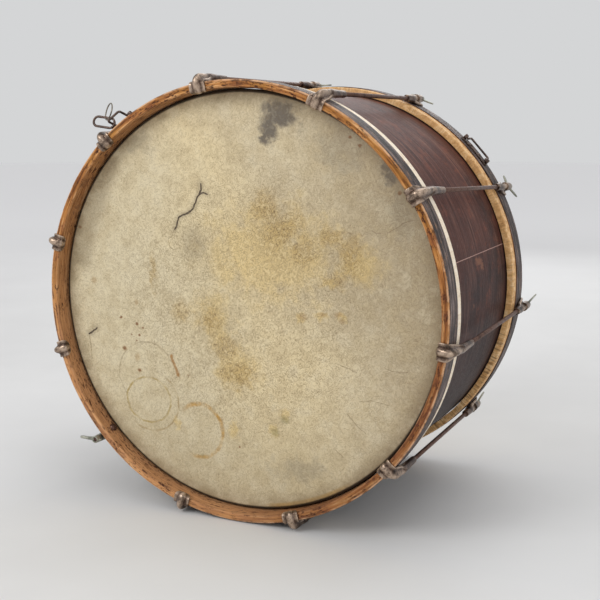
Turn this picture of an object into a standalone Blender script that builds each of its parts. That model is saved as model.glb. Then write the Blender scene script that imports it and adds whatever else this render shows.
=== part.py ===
"""Rod-tensioned bass drum: a 24 inch by 14 inch plywood shell with two calfskin heads.

The drum's axis runs along Y. Its front head faces -Y, and the drum lies on its hoops and
lower claws, as on a table. Angles round the drum are in degrees from +X, rising towards +Z.
Lengths are in metres. The drum's own frame is an empty at the middle of its axis.
"""
import math

import bmesh
import bpy
from mathutils import Euler, Matrix, Vector

SHELL_RADIUS = 0.3048
SHELL_DEPTH = 0.3556
SHELL_WALL = 0.0065
GLUE_RING_WIDTH = 0.038
VENT_RADIUS = 0.005
VENT_ANGLE = 180

SKIN = 0.0007
GAP = 0.0003
HEAD_RECESS = 0.025

HOOP_OUTER = 0.3185
HOOP_INNER = 0.3070
HOOP_WIDTH = 0.0381
HOOP_EDGE_ROUND = 0.0025
FLESH_OUTER = 0.3172
FLESH_INNER = 0.3068
FLESH_WIDTH = 0.0195
RING_STEPS = 48

ROD_CIRCLE = 0.3262
ROD_RADIUS = 0.0032
ROD_SIDES = 10
BORE_RADIUS = 0.0037
ROD_ANGLES = (31.8, 65.9, 99.6, 132.4, 165.4, 196.1, 253.2, 286.8, 318.6, 353.3)
ROD_SKEWS = (-3.2, 0, 0, 0, 0, 0, 0, 0, 0, 0)
WING_TURNS = (96, 90, 85, 100, 75, 95, 107, 73, 107, 60)
ODD_ROD_ANGLE = 223.0
ODD_WING_TURN = -46
ODD_NUT_LENGTH = 0.0260

CLAW_HALF_WIDTH = 0.0125
FRONT_SLEEVE_END = 0.085
REAR_TUBE_END = 0.060
REAR_BOSS = 0.009
SOCKET_BOTTOM = 0.045
NUT_LENGTH = 0.009
WING_THICKNESS = 0.0026

BAIL_WIRE = 0.0018
BAIL_REACH = 0.018
HINGE_HEIGHT = 0.0052
KNUCKLE_LENGTH = 0.005
PLATE_WIDTH = 0.015
PLATE_THICKNESS = 0.002
FRONT_BAIL_ANGLE = 126.2
FRONT_BAIL_LENGTH = 0.041
FRONT_BAIL_LEAN = -62
REAR_BAIL_ANGLE = 42.0
REAR_BAIL_LENGTH = 0.060
REAR_BAIL_LEAN = 88

LINK_LENGTH = 0.040
LINK_WIDTH = 0.018
LINK_WIRE = 0.0018
LINK_GRIP = 0.0100
LINK_PLAY = 0.0009
RING_RADIUS = 0.0125
RING_WIRE = 0.0010

LENGTH = SHELL_DEPTH + 2 * (HEAD_RECESS + SKIN + GAP)
EDGE = LENGTH / 2
BAIL_LEG_INSET = 0.0008 + KNUCKLE_LENGTH + BAIL_WIRE + 0.0005
FACET_SAG = HOOP_INNER * (1 - math.cos(math.pi / RING_STEPS))
CLAW_INNER_FACE = HOOP_INNER - ROD_CIRCLE - FACET_SAG - GAP
AXIS_PLACE = (-0.0052, -0.0075, 0.31965)

WOOD_DARK = ((0.045, 0.022, 0.019), 0.45, 0.0)
WOOD_BARE = ((0.34, 0.16, 0.06), 0.55, 0.0)
WOOD_BLACK = ((0.045, 0.040, 0.040), 0.50, 0.0)
CALFSKIN = ((0.58, 0.50, 0.34), 0.60, 0.0)
LAPPED_SKIN = ((0.80, 0.70, 0.52), 0.60, 0.0)
OLD_IRON = ((0.13, 0.105, 0.095), 0.50, 0.9)
NICKEL = ((0.42, 0.42, 0.38), 0.40, 0.9)


def clear_scene():
    for obj in list(bpy.data.objects):
        bpy.data.objects.remove(obj, do_unlink=True)


def collection(name):
    made = bpy.data.collections.new(name)
    bpy.context.scene.collection.children.link(made)
    return made


def material(name, finish):
    colour, roughness, metallic = finish
    made = bpy.data.materials.new(name)
    made.use_nodes = True
    shader = made.node_tree.nodes["Principled BSDF"]
    shader.inputs["Base Color"].default_value = (*colour, 1.0)
    shader.inputs["Roughness"].default_value = roughness
    shader.inputs["Metallic"].default_value = metallic
    return made


def add_part(name, data, finish=None):
    """A part of the drum, under the empty at the middle of its axis."""
    obj = bpy.data.objects.new(name, data)
    PARTS.objects.link(obj)
    obj.parent = DRUM
    if finish:
        data.materials.append(material(name, finish))
    return obj


def add_cutter(name, data):
    obj = bpy.data.objects.new(name, data)
    CUTTERS.objects.link(obj)
    obj.parent = DRUM
    obj.hide_render = True
    obj.display_type = "WIRE"
    return obj


def smooth(mesh, degrees=35):
    mesh.shade_smooth()
    mesh.set_sharp_from_angle(angle=math.radians(degrees))


def radial(degrees):
    """The outward direction at an angle round the drum."""
    return Vector((math.cos(math.radians(degrees)), 0, math.sin(math.radians(degrees))))


def end_matrix(point, along, degrees):
    """A frame at point: x outward from the drum's axis, y along, z round the drum."""
    y_axis = along.normalized()
    outward = radial(degrees)
    x_axis = (outward - y_axis * outward.dot(y_axis)).normalized()
    z_axis = x_axis.cross(y_axis)
    turn = Matrix((x_axis, y_axis, z_axis)).transposed()
    return Matrix.Translation(point) @ turn.to_4x4()


def turned(name, outline, finish, facing, closed=True):
    """A ring or disc from an outline of (radius, height), outer side top to bottom."""
    mesh = bpy.data.meshes.new(name)
    count = len(outline)
    edges = [(i, i + 1) for i in range(count - 1)]
    if closed:
        edges.append((count - 1, 0))
    mesh.from_pydata([(radius, 0, height) for radius, height in outline], edges, [])
    obj = add_part(name, mesh, finish)
    obj.rotation_euler = (math.radians(90 if facing == "front" else -90), 0, 0)
    screw = obj.modifiers.new("turn", "SCREW")
    screw.angle = 2 * math.pi
    screw.steps = screw.render_steps = RING_STEPS
    screw.use_merge_vertices = True
    screw.merge_threshold = 0.00005
    screw.use_smooth_shade = True
    return obj


def cylinder_mesh(name, radius, start, end, sides, end_radius=None):
    """A cylinder or cone along local Y, from start to end."""
    shape = bmesh.new()
    lay_down = Matrix.Rotation(math.radians(-90), 4, "X")
    middle = Matrix.Translation((0, (start + end) / 2, 0))
    bmesh.ops.create_cone(shape, cap_ends=True, segments=sides, radius1=radius,
                          radius2=radius if end_radius is None else end_radius,
                          depth=end - start, matrix=middle @ lay_down)
    mesh = bpy.data.meshes.new(name)
    shape.to_mesh(mesh)
    shape.free()
    return mesh


def worked_mesh(name, base, added=(), removed=()):
    """One mesh: base with the added meshes joined to it and the removed ones cut out."""
    body = bpy.data.objects.new("work_" + name, base)
    CUTTERS.objects.link(body)
    tools = []
    for operation, meshes in (("UNION", added), ("DIFFERENCE", removed)):
        for tool_mesh in meshes:
            tool = bpy.data.objects.new("work_tool", tool_mesh)
            CUTTERS.objects.link(tool)
            tools.append(tool)
            step = body.modifiers.new(operation.lower(), "BOOLEAN")
            step.operation = operation
            step.solver = "EXACT"
            step.object = tool
    bpy.context.view_layer.update()
    graph = bpy.context.evaluated_depsgraph_get()
    made = bpy.data.meshes.new_from_object(body.evaluated_get(graph))
    made.name = name
    for obj in [body] + tools:
        bpy.data.objects.remove(obj, do_unlink=True)
    smooth(made)
    return made


def curve_mesh(name, curve):
    """The closed mesh of a curve object, with its loose caps welded on."""
    obj = bpy.data.objects.new("work_" + name, curve)
    CUTTERS.objects.link(obj)
    bpy.context.view_layer.update()
    graph = bpy.context.evaluated_depsgraph_get()
    mesh = bpy.data.meshes.new_from_object(obj.evaluated_get(graph))
    bpy.data.objects.remove(obj, do_unlink=True)
    shape = bmesh.new()
    shape.from_mesh(mesh)
    bmesh.ops.remove_doubles(shape, verts=shape.verts, dist=0.00001)
    bmesh.ops.recalc_face_normals(shape, faces=shape.faces)
    shape.to_mesh(mesh)
    shape.free()
    return mesh


def wire_mesh(name, points, radius, cyclic=False):
    """A round wire along the points."""
    curve = bpy.data.curves.new(name, "CURVE")
    curve.dimensions = "3D"
    curve.bevel_depth = radius
    curve.bevel_resolution = 2
    curve.use_fill_caps = not cyclic
    spline = curve.splines.new("POLY")
    spline.points.add(len(points) - 1)
    for place, point in zip(spline.points, points):
        place.co = (*point, 1)
    spline.use_cyclic_u = cyclic
    mesh = curve_mesh(name, curve)
    smooth(mesh)
    return mesh


def outline_mesh(name, points, thickness):
    """A flat plate in local XY from its outline."""
    curve = bpy.data.curves.new(name, "CURVE")
    curve.dimensions = "2D"
    curve.fill_mode = "BOTH"
    curve.extrude = thickness / 2
    spline = curve.splines.new("POLY")
    spline.points.add(len(points) - 1)
    for place, point in zip(spline.points, points):
        place.co = (*point, 0, 1)
    spline.use_cyclic_u = True
    return curve_mesh(name, curve)


def arc(centre, radius, first, last, count):
    """Points on an arc in a plane, angles in degrees."""
    found = []
    for i in range(count):
        turn = math.radians(first + (last - first) * i / (count - 1))
        found.append((centre[0] + radius * math.cos(turn), centre[1] + radius * math.sin(turn)))
    return found


def make_shell():
    """The bent plywood cylinder, its edges rounded over to carry the heads."""
    outer, inner = SHELL_RADIUS, SHELL_RADIUS - SHELL_WALL
    half = SHELL_DEPTH / 2
    shoulder = [(inner + 0.0012, half), (inner + 0.0045, half - 0.0014), (outer, half - 0.0057)]
    mirrored = [(radius, -height) for radius, height in reversed(shoulder)]
    outline = shoulder + mirrored + [(inner, -half + 0.0006), (inner, half - 0.0006)]
    shell = turned("shell", outline, WOOD_DARK, "front")
    drill = add_cutter("vent_drill", cylinder_mesh("vent_drill", VENT_RADIUS, -0.02, 0.02, 16))
    drill.matrix_local = (Matrix.Translation(radial(VENT_ANGLE) * SHELL_RADIUS)
                          @ Matrix.Rotation(math.radians(90), 4, "Z"))
    cut = shell.modifiers.new("vent", "BOOLEAN")
    cut.operation = "DIFFERENCE"
    cut.solver = "EXACT"
    cut.object = drill


def make_glue_ring(end):
    """The ring glued inside the shell's end to stiffen it."""
    outer = SHELL_RADIUS - SHELL_WALL - GAP
    inner = outer - SHELL_WALL
    top = SHELL_DEPTH / 2 - 0.0008
    outline = [(outer, top), (outer, top - GLUE_RING_WIDTH),
               (inner, top - GLUE_RING_WIDTH + 0.005), (inner, top - 0.003)]
    turned(end + "_glue_ring", outline, WOOD_BARE, end)


def make_head(end):
    """The skin: flat across, rounded over the shell's edge and drawn down outside it."""
    top = EDGE - HEAD_RECESS
    inside = SHELL_RADIUS + GAP
    collar_end = EDGE - HOOP_WIDTH - 0.016
    drops = ((-0.0050, 0.0), (-0.0008, 0.0022), (0.0, 0.0060))
    outer = [(inside + SKIN + across, top - down) for across, down in drops]
    inner = [(inside + across, top - SKIN - down) for across, down in drops]
    outline = [(0, top)] + outer + [(inside + SKIN, collar_end), (inside, collar_end)]
    outline += list(reversed(inner)) + [(0, top - SKIN)]
    turned(end + "_head", outline, CALFSKIN, end, closed=False)


def make_flesh_hoop(end):
    """The ring that the skin is lapped round, between the counterhoop and the shell."""
    top = EDGE - HOOP_WIDTH - GAP
    bottom = top - FLESH_WIDTH
    soft = 0.0022
    outline = [(FLESH_OUTER - soft, top), (FLESH_OUTER, top - soft), (FLESH_OUTER, bottom + soft),
               (FLESH_OUTER - soft, bottom), (FLESH_INNER, bottom), (FLESH_INNER, top)]
    turned(end + "_flesh_hoop", outline, LAPPED_SKIN, end)


def make_counterhoop(end):
    """The wooden hoop that the claws pull down onto the flesh hoop."""
    soft, slight = HOOP_EDGE_ROUND, 0.001
    bottom = EDGE - HOOP_WIDTH
    outline = [(HOOP_OUTER - soft, EDGE), (HOOP_OUTER, EDGE - soft), (HOOP_OUTER, bottom + slight),
               (HOOP_OUTER - slight, bottom), (HOOP_INNER + slight, bottom),
               (HOOP_INNER, bottom + slight), (HOOP_INNER, EDGE - soft * 0.6),
               (HOOP_INNER + soft * 0.6, EDGE)]
    return turned(end + "_counterhoop", outline, WOOD_BLACK, end)


def claw_section(x, y, lean, half_width, edge, hump, hump_half):
    """Ten points across a claw: raised rims, a valley on each side and a hump between.

    The section stands on the hoop at (x, y). Its height runs outward at lean degrees,
    0 on the hoop's outer face, 90 on its edge and 180 on its inner face.
    """
    rim, rim_width = edge + 0.0009, half_width * 0.2
    across = [(-half_width, 0), (half_width, 0), (half_width, rim),
              (half_width - rim_width, rim), (hump_half, edge), (hump_half * 0.55, hump),
              (-hump_half * 0.55, hump), (-hump_half, edge), (rim_width - half_width, rim),
              (-half_width, rim)]
    up = (math.cos(math.radians(lean)), -math.sin(math.radians(lean)))
    return [(x + up[0] * height, y + up[1] * height, z) for z, height in across]


def sleeve_section(y, radius):
    """Ten points round the rod's axis."""
    turns = [math.radians(-108 + 36 * i) for i in range(10)]
    return [(radius * math.sin(turn), y, radius * math.cos(turn)) for turn in turns]


def claw_body(name, sleeve):
    """A cast claw: it hooks the hoop's inner face, crosses its edge and runs into a sleeve."""
    inner_face = CLAW_INNER_FACE
    outer_face = HOOP_OUTER - ROD_CIRCLE + GAP
    lip = -GAP
    wide = CLAW_HALF_WIDTH
    rings = [
        claw_section(inner_face, 0.0080, 180, wide * 0.46, 0.0013, 0.0022, 0.0034),
        claw_section(inner_face, 0.0012, 172, wide * 0.95, 0.0018, 0.0044, 0.0054),
        claw_section(inner_face + 0.0015, lip, 118, wide, 0.0022, 0.0058, 0.0060),
        claw_section(outer_face - 0.0045, lip, 88, wide, 0.0022, 0.0068, 0.0062),
        claw_section(outer_face, lip, 45, wide * 0.98, 0.0026, 0.0105, 0.0062),
        claw_section(outer_face, 0.0052, 8, wide * 0.94, 0.0024, 0.0142, 0.0062),
        claw_section(outer_face, 0.0270, 0, wide * 0.58, 0.0050, 0.0133, 0.0056),
    ]
    rings += [sleeve_section(y, radius) for y, radius in sleeve]
    shape = bmesh.new()
    loops = [[shape.verts.new(point) for point in ring] for ring in rings]
    for low, high in zip(loops, loops[1:]):
        for i in range(len(low)):
            j = (i + 1) % len(low)
            shape.faces.new((low[i], low[j], high[j], high[i]))
    shape.faces.new(loops[0])
    shape.faces.new(reversed(loops[-1]))
    bmesh.ops.recalc_face_normals(shape, faces=shape.faces)
    mesh = bpy.data.meshes.new(name)
    shape.to_mesh(mesh)
    shape.free()
    return mesh


def front_claw_mesh():
    """The front claw, with a blind socket in its long sleeve for the rod."""
    end = FRONT_SLEEVE_END
    sleeve = ((0.041, 0.0063), (end - 0.002, 0.0050), (end, 0.0042))
    socket = cylinder_mesh("socket", BORE_RADIUS, SOCKET_BOTTOM, end + 0.01, ROD_SIDES)
    return worked_mesh("front_claw", claw_body("front_claw_body", sleeve), removed=[socket])


def rear_claw_mesh():
    """The rear claw, with a tube right through it and a boss for the wing nut."""
    end = REAR_TUBE_END
    sleeve = ((0.038, 0.0062), (end - 0.002, 0.0056), (end, 0.0048))
    boss = cylinder_mesh("boss", 0.0068, -REAR_BOSS, 0.012, 12)
    bore = cylinder_mesh("bore", BORE_RADIUS, -REAR_BOSS - 0.01, end + 0.01, ROD_SIDES)
    return worked_mesh("rear_claw", claw_body("rear_claw_body", sleeve), added=[boss],
                       removed=[bore])


def wing_nut_mesh():
    """A wing nut on local Y: seat at 0, two leaf-shaped wings flared away from the seat."""
    hub = cylinder_mesh("hub", 0.0064, 0, NUT_LENGTH, 12, end_radius=0.0050)
    leaf = [(0.0035, 0.0022), (0.0085, 0.0030), (0.0140, 0.0064), (0.0190, 0.0106),
            (0.0210, 0.0140), (0.0188, 0.0158), (0.0130, 0.0130), (0.0080, 0.0086),
            (0.0035, 0.0080)]
    wings = [outline_mesh("wing", [(side * x, y) for x, y in leaf], WING_THICKNESS)
             for side in (1, -1)]
    bore = cylinder_mesh("nut_bore", BORE_RADIUS, -0.01, NUT_LENGTH + 0.01, ROD_SIDES)
    return worked_mesh("wing_nut", hub, added=wings, removed=[bore])


def odd_wing_nut_mesh():
    """A long-hubbed wing nut with one straight wing, the other broken off to a stump."""
    length = ODD_NUT_LENGTH
    hub = cylinder_mesh("hub", 0.0062, 0, length, 12, end_radius=0.0054)
    wing = [(0.0035, -0.0092), (0.0090, -0.0076), (0.0150, -0.0052), (0.0230, -0.0044),
            (0.0262, -0.0028), (0.0268, -0.0006), (0.0240, 0.0012), (0.0150, 0.0006),
            (0.0090, -0.0004), (0.0035, -0.0008)]
    stump = [(0.0035, -0.0092), (0.0078, -0.0080), (0.0092, -0.0058), (0.0076, -0.0030),
             (0.0035, -0.0008)]
    wings = [outline_mesh("wing", [(x, length + y) for x, y in wing], WING_THICKNESS),
             outline_mesh("stump", [(-x, length + y) for x, y in stump], WING_THICKNESS)]
    bore = cylinder_mesh("nut_bore", BORE_RADIUS, -0.01, length + 0.01, ROD_SIDES)
    return worked_mesh("wing_nut_11", hub, added=wings, removed=[bore])


def rod_mesh(name, start, end, head=0.0):
    """A round rod on local Y, with an optional button head past its far end."""
    rod = cylinder_mesh(name, ROD_RADIUS, start, end, ROD_SIDES)
    if not head:
        smooth(rod)
        return rod
    button = cylinder_mesh("button", head, end - 0.0005, end + 0.0035, 12, end_radius=head * 0.6)
    return worked_mesh(name, rod, added=[button])


def rod_ends(degrees, skew):
    """The points where a rod's axis passes the two hoop edges, and the way between them."""
    front = radial(degrees) * ROD_CIRCLE + Vector((0, -EDGE, 0))
    rear = radial(degrees + skew) * ROD_CIRCLE + Vector((0, EDGE, 0))
    return front, rear, (rear - front).normalized()


def make_tension_rods():
    """Ten rods, each with its front claw, rear claw and wing nut."""
    front_claw = front_claw_mesh()
    front_claw.materials.append(material("front_claw", OLD_IRON))
    rear_claw = rear_claw_mesh()
    rear_claw.materials.append(material("rear_claw", OLD_IRON))
    wing_nut = wing_nut_mesh()
    wing_nut.materials.append(material("wing_nut", NICKEL))
    rod = rod_mesh("tension_rod", SOCKET_BOTTOM + 0.001, LENGTH + REAR_BOSS + 0.0135)
    rod.materials.append(material("tension_rod", OLD_IRON))
    half_turn = Matrix.Rotation(math.pi, 4, "X")
    for index, (degrees, skew) in enumerate(zip(ROD_ANGLES, ROD_SKEWS), start=1):
        front, rear, along = rod_ends(degrees, skew)
        stand_off = CLAW_HALF_WIDTH * abs(math.sin(along.angle(Vector((0, 1, 0)))))
        front_frame = end_matrix(front - along * stand_off, along, degrees)
        rear_frame = end_matrix(rear + along * stand_off, along, degrees + skew)
        add_part(f"front_claw_{index:02d}", front_claw).matrix_local = front_frame
        add_part(f"rear_claw_{index:02d}", rear_claw).matrix_local = rear_frame @ half_turn
        add_part(f"tension_rod_{index:02d}", rod).matrix_local = front_frame
        seat = Matrix.Translation((0, REAR_BOSS + GAP, 0))
        turn = Matrix.Rotation(math.radians(-WING_TURNS[index - 1]), 4, "Y")
        add_part(f"wing_nut_{index:02d}", wing_nut).matrix_local = rear_frame @ seat @ turn
    return rear_claw


def make_odd_rod(hoop, rear_claw):
    """The eleventh rod, turned round: an eye bolt through the front hoop takes its claw's place."""
    half_turn = Matrix.Rotation(math.pi, 4, "X")
    front, rear, along = rod_ends(ODD_ROD_ANGLE, 0)
    front_frame = end_matrix(front, along, ODD_ROD_ANGLE)
    rear_frame = end_matrix(rear, along, ODD_ROD_ANGLE)
    add_part("rear_claw_11", rear_claw).matrix_local = rear_frame @ half_turn

    eye_y = HOOP_WIDTH / 2
    ring = arc((0, 0), 0.0055, 0, 330, 12)
    eye = wire_mesh("eye", [(x, eye_y, z) for x, z in ring], 0.0018, cyclic=True)
    stem_radius = 0.0030
    stem_end = HOOP_INNER - ROD_CIRCLE - 0.0050
    stem = cylinder_mesh("stem", stem_radius, stem_end, -0.0050, 10)
    stem.transform(Matrix.Translation((0, eye_y, 0)) @ Matrix.Rotation(math.radians(-90), 4, "Z"))
    bolt = worked_mesh("eye_bolt", eye, added=[stem])
    add_part("eye_bolt", bolt, OLD_IRON).matrix_local = front_frame

    drill = add_cutter("eye_bolt_drill", cylinder_mesh("eye_bolt_drill", 0.0034, -0.03, 0.0, 12))
    stand = Matrix.Translation((0, eye_y, 0)) @ Matrix.Rotation(math.radians(-90), 4, "Z")
    drill.matrix_local = front_frame @ stand
    cut = hoop.modifiers.new("eye_bolt_hole", "BOOLEAN")
    cut.operation = "DIFFERENCE"
    cut.solver = "EXACT"
    cut.object = drill

    nut_height = 0.0034
    dome = cylinder_mesh("dome", 0.0046, 0, nut_height, 12, end_radius=0.0062)
    bore = cylinder_mesh("dome_bore", 0.0034, -0.01, 0.01, 12)
    nut = worked_mesh("eye_bolt_nut", dome, removed=[bore])
    seat = Matrix.Translation((CLAW_INNER_FACE - nut_height, eye_y, 0))
    lay = Matrix.Rotation(math.radians(-90), 4, "Z")
    add_part("eye_bolt_nut", nut, OLD_IRON).matrix_local = front_frame @ seat @ lay

    nut_seat = eye_y - stem_radius - GAP
    rod_start = nut_seat - ODD_NUT_LENGTH + 0.0020
    rod = rod_mesh("tension_rod_11", rod_start, LENGTH + REAR_BOSS + GAP + 0.0008, head=0.0056)
    add_part("tension_rod_11", rod, OLD_IRON).matrix_local = front_frame
    seat = Matrix.Translation((0, nut_seat, 0)) @ half_turn
    turn = Matrix.Rotation(math.radians(ODD_WING_TURN), 4, "Y")
    nut_frame = front_frame @ seat @ turn
    add_part("wing_nut_11", odd_wing_nut_mesh(), NICKEL).matrix_local = nut_frame


def plate_mesh(name, length):
    """A plate bent to the hoop, with a bored knuckle standing at each end."""
    shape = bmesh.new()
    bmesh.ops.create_cube(shape, size=1.0)
    bmesh.ops.scale(shape, vec=(PLATE_THICKNESS, PLATE_WIDTH, length), verts=shape.verts)
    bmesh.ops.translate(shape, vec=(PLATE_THICKNESS / 2, 0, 0), verts=shape.verts)
    long_edges = [e for e in shape.edges if abs(e.verts[0].co.z - e.verts[1].co.z) > length / 2]
    bmesh.ops.subdivide_edges(shape, edges=long_edges, cuts=5, use_grid_fill=True)
    for vert in shape.verts:
        vert.co.x += GAP + 0.0006 - vert.co.z ** 2 / (2 * HOOP_OUTER)
    body = bpy.data.meshes.new(name)
    shape.to_mesh(body)
    shape.free()
    knuckles, bores = [], []
    for side in (1, -1):
        outside = side * (length / 2 - 0.0008)
        inside = side * (length / 2 - 0.0008 - KNUCKLE_LENGTH)
        low, high = sorted((inside, outside))
        stand = Matrix.Translation((HINGE_HEIGHT, 0, 0)) @ Matrix.Rotation(math.radians(90), 4, "X")
        knuckle = cylinder_mesh("knuckle", 0.0040, low, high, 12)
        knuckle.transform(stand)
        knuckles.append(knuckle)
        bore = cylinder_mesh("knuckle_bore", BAIL_WIRE + 0.0004, low - 0.003, high + 0.003, 10)
        bore.transform(stand)
        bores.append(bore)
    return worked_mesh(name, body, added=knuckles, removed=bores)


def bail_mesh(name, length):
    """A wire bail with its ends turned out into the knuckles. Its hinge is local Z."""
    leg = length / 2 - BAIL_LEG_INSET
    pin = length / 2 - 0.0012
    bend = 0.0035
    side = [(0, pin), (0, leg + bend * 0.3), (bend * 0.3, leg), (BAIL_REACH - bend, leg)]
    side += arc((BAIL_REACH - bend, leg - bend), bend, 60, 0, 3)
    points = [(x, 0, z) for x, z in side] + [(x, 0, -z) for x, z in reversed(side)]
    return wire_mesh(name, points, BAIL_WIRE)


def bail_frame(degrees, y):
    """A frame on the hoop's outer face: x outward, y to the rear, z round the drum."""
    place = radial(degrees) * HOOP_OUTER + Vector((0, y, 0))
    return end_matrix(place, Vector((0, 1, 0)), degrees)


def make_bail(end, degrees, length, lean):
    """A carrying bail and its plate on one hoop; lean turns it from outright to the rear."""
    y = (-EDGE + HOOP_WIDTH / 2) if end == "front" else (EDGE - HOOP_WIDTH / 2)
    frame = bail_frame(degrees, y)
    plate = plate_mesh(end + "_bail_plate", length)
    add_part(end + "_bail_plate", plate, OLD_IRON).matrix_local = frame
    hinge = Matrix.Translation((HINGE_HEIGHT, 0, 0)) @ Matrix.Rotation(math.radians(lean), 4, "Z")
    bail = bail_mesh(end + "_bail", length)
    add_part(end + "_bail", bail, OLD_IRON).matrix_local = frame @ hinge
    return frame @ hinge


def make_link_and_ring(bail):
    """The oval link that hangs on the front bail, and the thin ring through the link."""
    straight = (LINK_LENGTH - LINK_WIDTH) / 2
    bend = LINK_WIDTH / 2 - LINK_WIRE
    outline = arc((straight, 0), bend, -90, 90, 6) + arc((-straight, 0), bend, 90, 270, 6)
    link = wire_mesh("sling_link", [(x, 0, z) for x, z in outline], LINK_WIRE, cyclic=True)
    grip = bail @ Vector((LINK_GRIP, 0, FRONT_BAIL_LENGTH / 2 - BAIL_LEG_INSET))
    hook = LINK_LENGTH / 2 - LINK_WIRE
    inside = hook - LINK_WIRE - BAIL_WIRE - LINK_PLAY
    tilt = Euler((math.radians(-15), math.radians(7), 0)).to_matrix().to_4x4()
    link_frame = Matrix.Translation(grip) @ tilt @ Matrix.Translation((-inside, 0, 0))
    add_part("sling_link", link, OLD_IRON).matrix_local = link_frame

    circle = arc((0, 0), RING_RADIUS, 0, 340, 18)
    ring = wire_mesh("wire_ring", [(x, 0, z) for x, z in circle], RING_WIRE, cyclic=True)
    bar = bend - LINK_WIRE - RING_WIRE - GAP
    lift = Matrix.Translation((0.004, 0, bar + RING_RADIUS))
    turn = Matrix.Rotation(math.radians(-38), 4, "Z")
    add_part("wire_ring", ring, NICKEL).matrix_local = link_frame @ lift @ turn


clear_scene()
PARTS = collection("drum")
CUTTERS = collection("drum_cutters")
DRUM = bpy.data.objects.new("drum_axis", None)
PARTS.objects.link(DRUM)
DRUM.location = AXIS_PLACE

make_shell()
for side_name in ("front", "rear"):
    make_glue_ring(side_name)
    make_head(side_name)
    make_flesh_hoop(side_name)
front_hoop = make_counterhoop("front")
make_counterhoop("rear")
shared_rear_claw = make_tension_rods()
make_odd_rod(front_hoop, shared_rear_claw)
front_bail = make_bail("front", FRONT_BAIL_ANGLE, FRONT_BAIL_LENGTH, FRONT_BAIL_LEAN)
make_bail("rear", REAR_BAIL_ANGLE, REAR_BAIL_LENGTH, REAR_BAIL_LEAN)
make_link_and_ring(front_bail)
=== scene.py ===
"""The drum's looks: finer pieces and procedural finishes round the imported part.

Lengths are in metres in the part's own frame. The drum's axis runs along Y through CENTRE and
its front head faces -Y. Angles round it are in degrees from +X, rising towards +Z. Marks on the
front head are in millimetres from the axis, x to the right and z up.
"""

import math

import bmesh
import bpy
from mathutils import Euler, Matrix, Vector, noise


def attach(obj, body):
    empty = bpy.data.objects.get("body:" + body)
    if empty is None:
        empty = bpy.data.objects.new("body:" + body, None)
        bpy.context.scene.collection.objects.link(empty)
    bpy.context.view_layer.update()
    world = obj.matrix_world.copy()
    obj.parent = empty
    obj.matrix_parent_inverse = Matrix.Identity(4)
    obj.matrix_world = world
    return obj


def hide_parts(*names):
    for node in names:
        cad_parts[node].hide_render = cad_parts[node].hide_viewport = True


CENTRE = Vector((-0.0052, -0.0075, 0.31965))

SHELL_RADIUS = 0.3048
SHELL_DEPTH = 0.3556
SHELL_WALL = 0.0065
VENT_RADIUS = 0.005
SKIN = 0.0007
GAP = 0.0003
HEAD_RECESS = 0.025
HOOP_OUTER = 0.3185
HOOP_INNER = 0.3070
HOOP_WIDTH = 0.0381
FLESH_OUTER = 0.3172
FLESH_INNER = 0.3068
FLESH_WIDTH = 0.0195
LENGTH = SHELL_DEPTH + 2 * (HEAD_RECESS + SKIN + GAP)
EDGE = LENGTH / 2

ROD_CIRCLE = 0.3262
ROD_RADIUS = 0.0032
BORE_RADIUS = 0.0037
ROD_ANGLES = (31.8, 65.9, 99.6, 132.4, 165.4, 196.1, 253.2, 286.8, 318.6, 353.3)
ROD_SKEWS = (-3.2, 0, 0, 0, 0, 0, 0, 0, 0, 0)
WING_TURNS = (96, 90, 85, 100, 75, 95, 107, 73, 107, 60)
ODD_ROD_ANGLE = 223.0
ODD_WING_TURN = -46
ODD_NUT_LENGTH = 0.0260
CLAW_HALF_WIDTH = 0.0125
CLAW_INNER_FACE = HOOP_INNER - ROD_CIRCLE - 0.00096
FRONT_SLEEVE_END = 0.085
REAR_TUBE_END = 0.060
REAR_BOSS = 0.009
SOCKET_BOTTOM = 0.045
NUT_LENGTH = 0.009

BAIL_WIRE = 0.0018
BAIL_REACH = 0.018
BAIL_LEG_INSET = 0.0081
HINGE_HEIGHT = 0.0052
KNUCKLE_LENGTH = 0.005
PLATE_WIDTH = 0.015
PLATE_THICKNESS = 0.002
FRONT_BAIL = ("front", 126.2, 0.041, -62)
REAR_BAIL = ("rear", 42.0, 0.060, 88)
LINK_LENGTH = 0.040
LINK_WIDTH = 0.018
LINK_WIRE = 0.0018
LINK_GRIP = 0.0100
LINK_PLAY = 0.0009
RING_RADIUS = 0.0125
RING_WIRE = 0.0010

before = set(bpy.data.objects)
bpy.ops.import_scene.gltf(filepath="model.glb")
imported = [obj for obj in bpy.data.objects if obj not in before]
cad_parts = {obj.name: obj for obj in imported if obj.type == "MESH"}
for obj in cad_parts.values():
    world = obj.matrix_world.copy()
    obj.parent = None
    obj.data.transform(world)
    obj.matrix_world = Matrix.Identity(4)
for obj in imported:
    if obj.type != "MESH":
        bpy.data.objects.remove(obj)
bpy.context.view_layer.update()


def shade(red, green, blue):
    """A colour given as it looks on screen, 0 to 255, as Blender's own linear values."""
    found = []
    for level in (red, green, blue):
        level /= 255
        found.append(level / 12.92 if level <= 0.04045 else ((level + 0.055) / 1.055) ** 2.4)
    return (*found, 1.0)


class Nodes:
    """A node tree, with short calls for its nodes."""

    def __init__(self, tree):
        self.tree = tree

    def node(self, kind, values=(), **settings):
        """A new node with its settings, and with values or other nodes' outputs in its sockets."""
        made = self.tree.nodes.new(kind)
        for key, value in settings.items():
            setattr(made, key, value)
        for key, value in values.items() if isinstance(values, dict) else enumerate(values):
            self.link(value, made.inputs[key])
        return made

    def link(self, value, socket):
        """Joins a node's output to a socket, or writes a plain value there."""
        if isinstance(value, bpy.types.NodeSocket):
            self.tree.links.new(value, socket)
        else:
            socket.default_value = value

    def math(self, operation, *values):
        return self.node("ShaderNodeMath", values, operation=operation).outputs[0]


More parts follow.
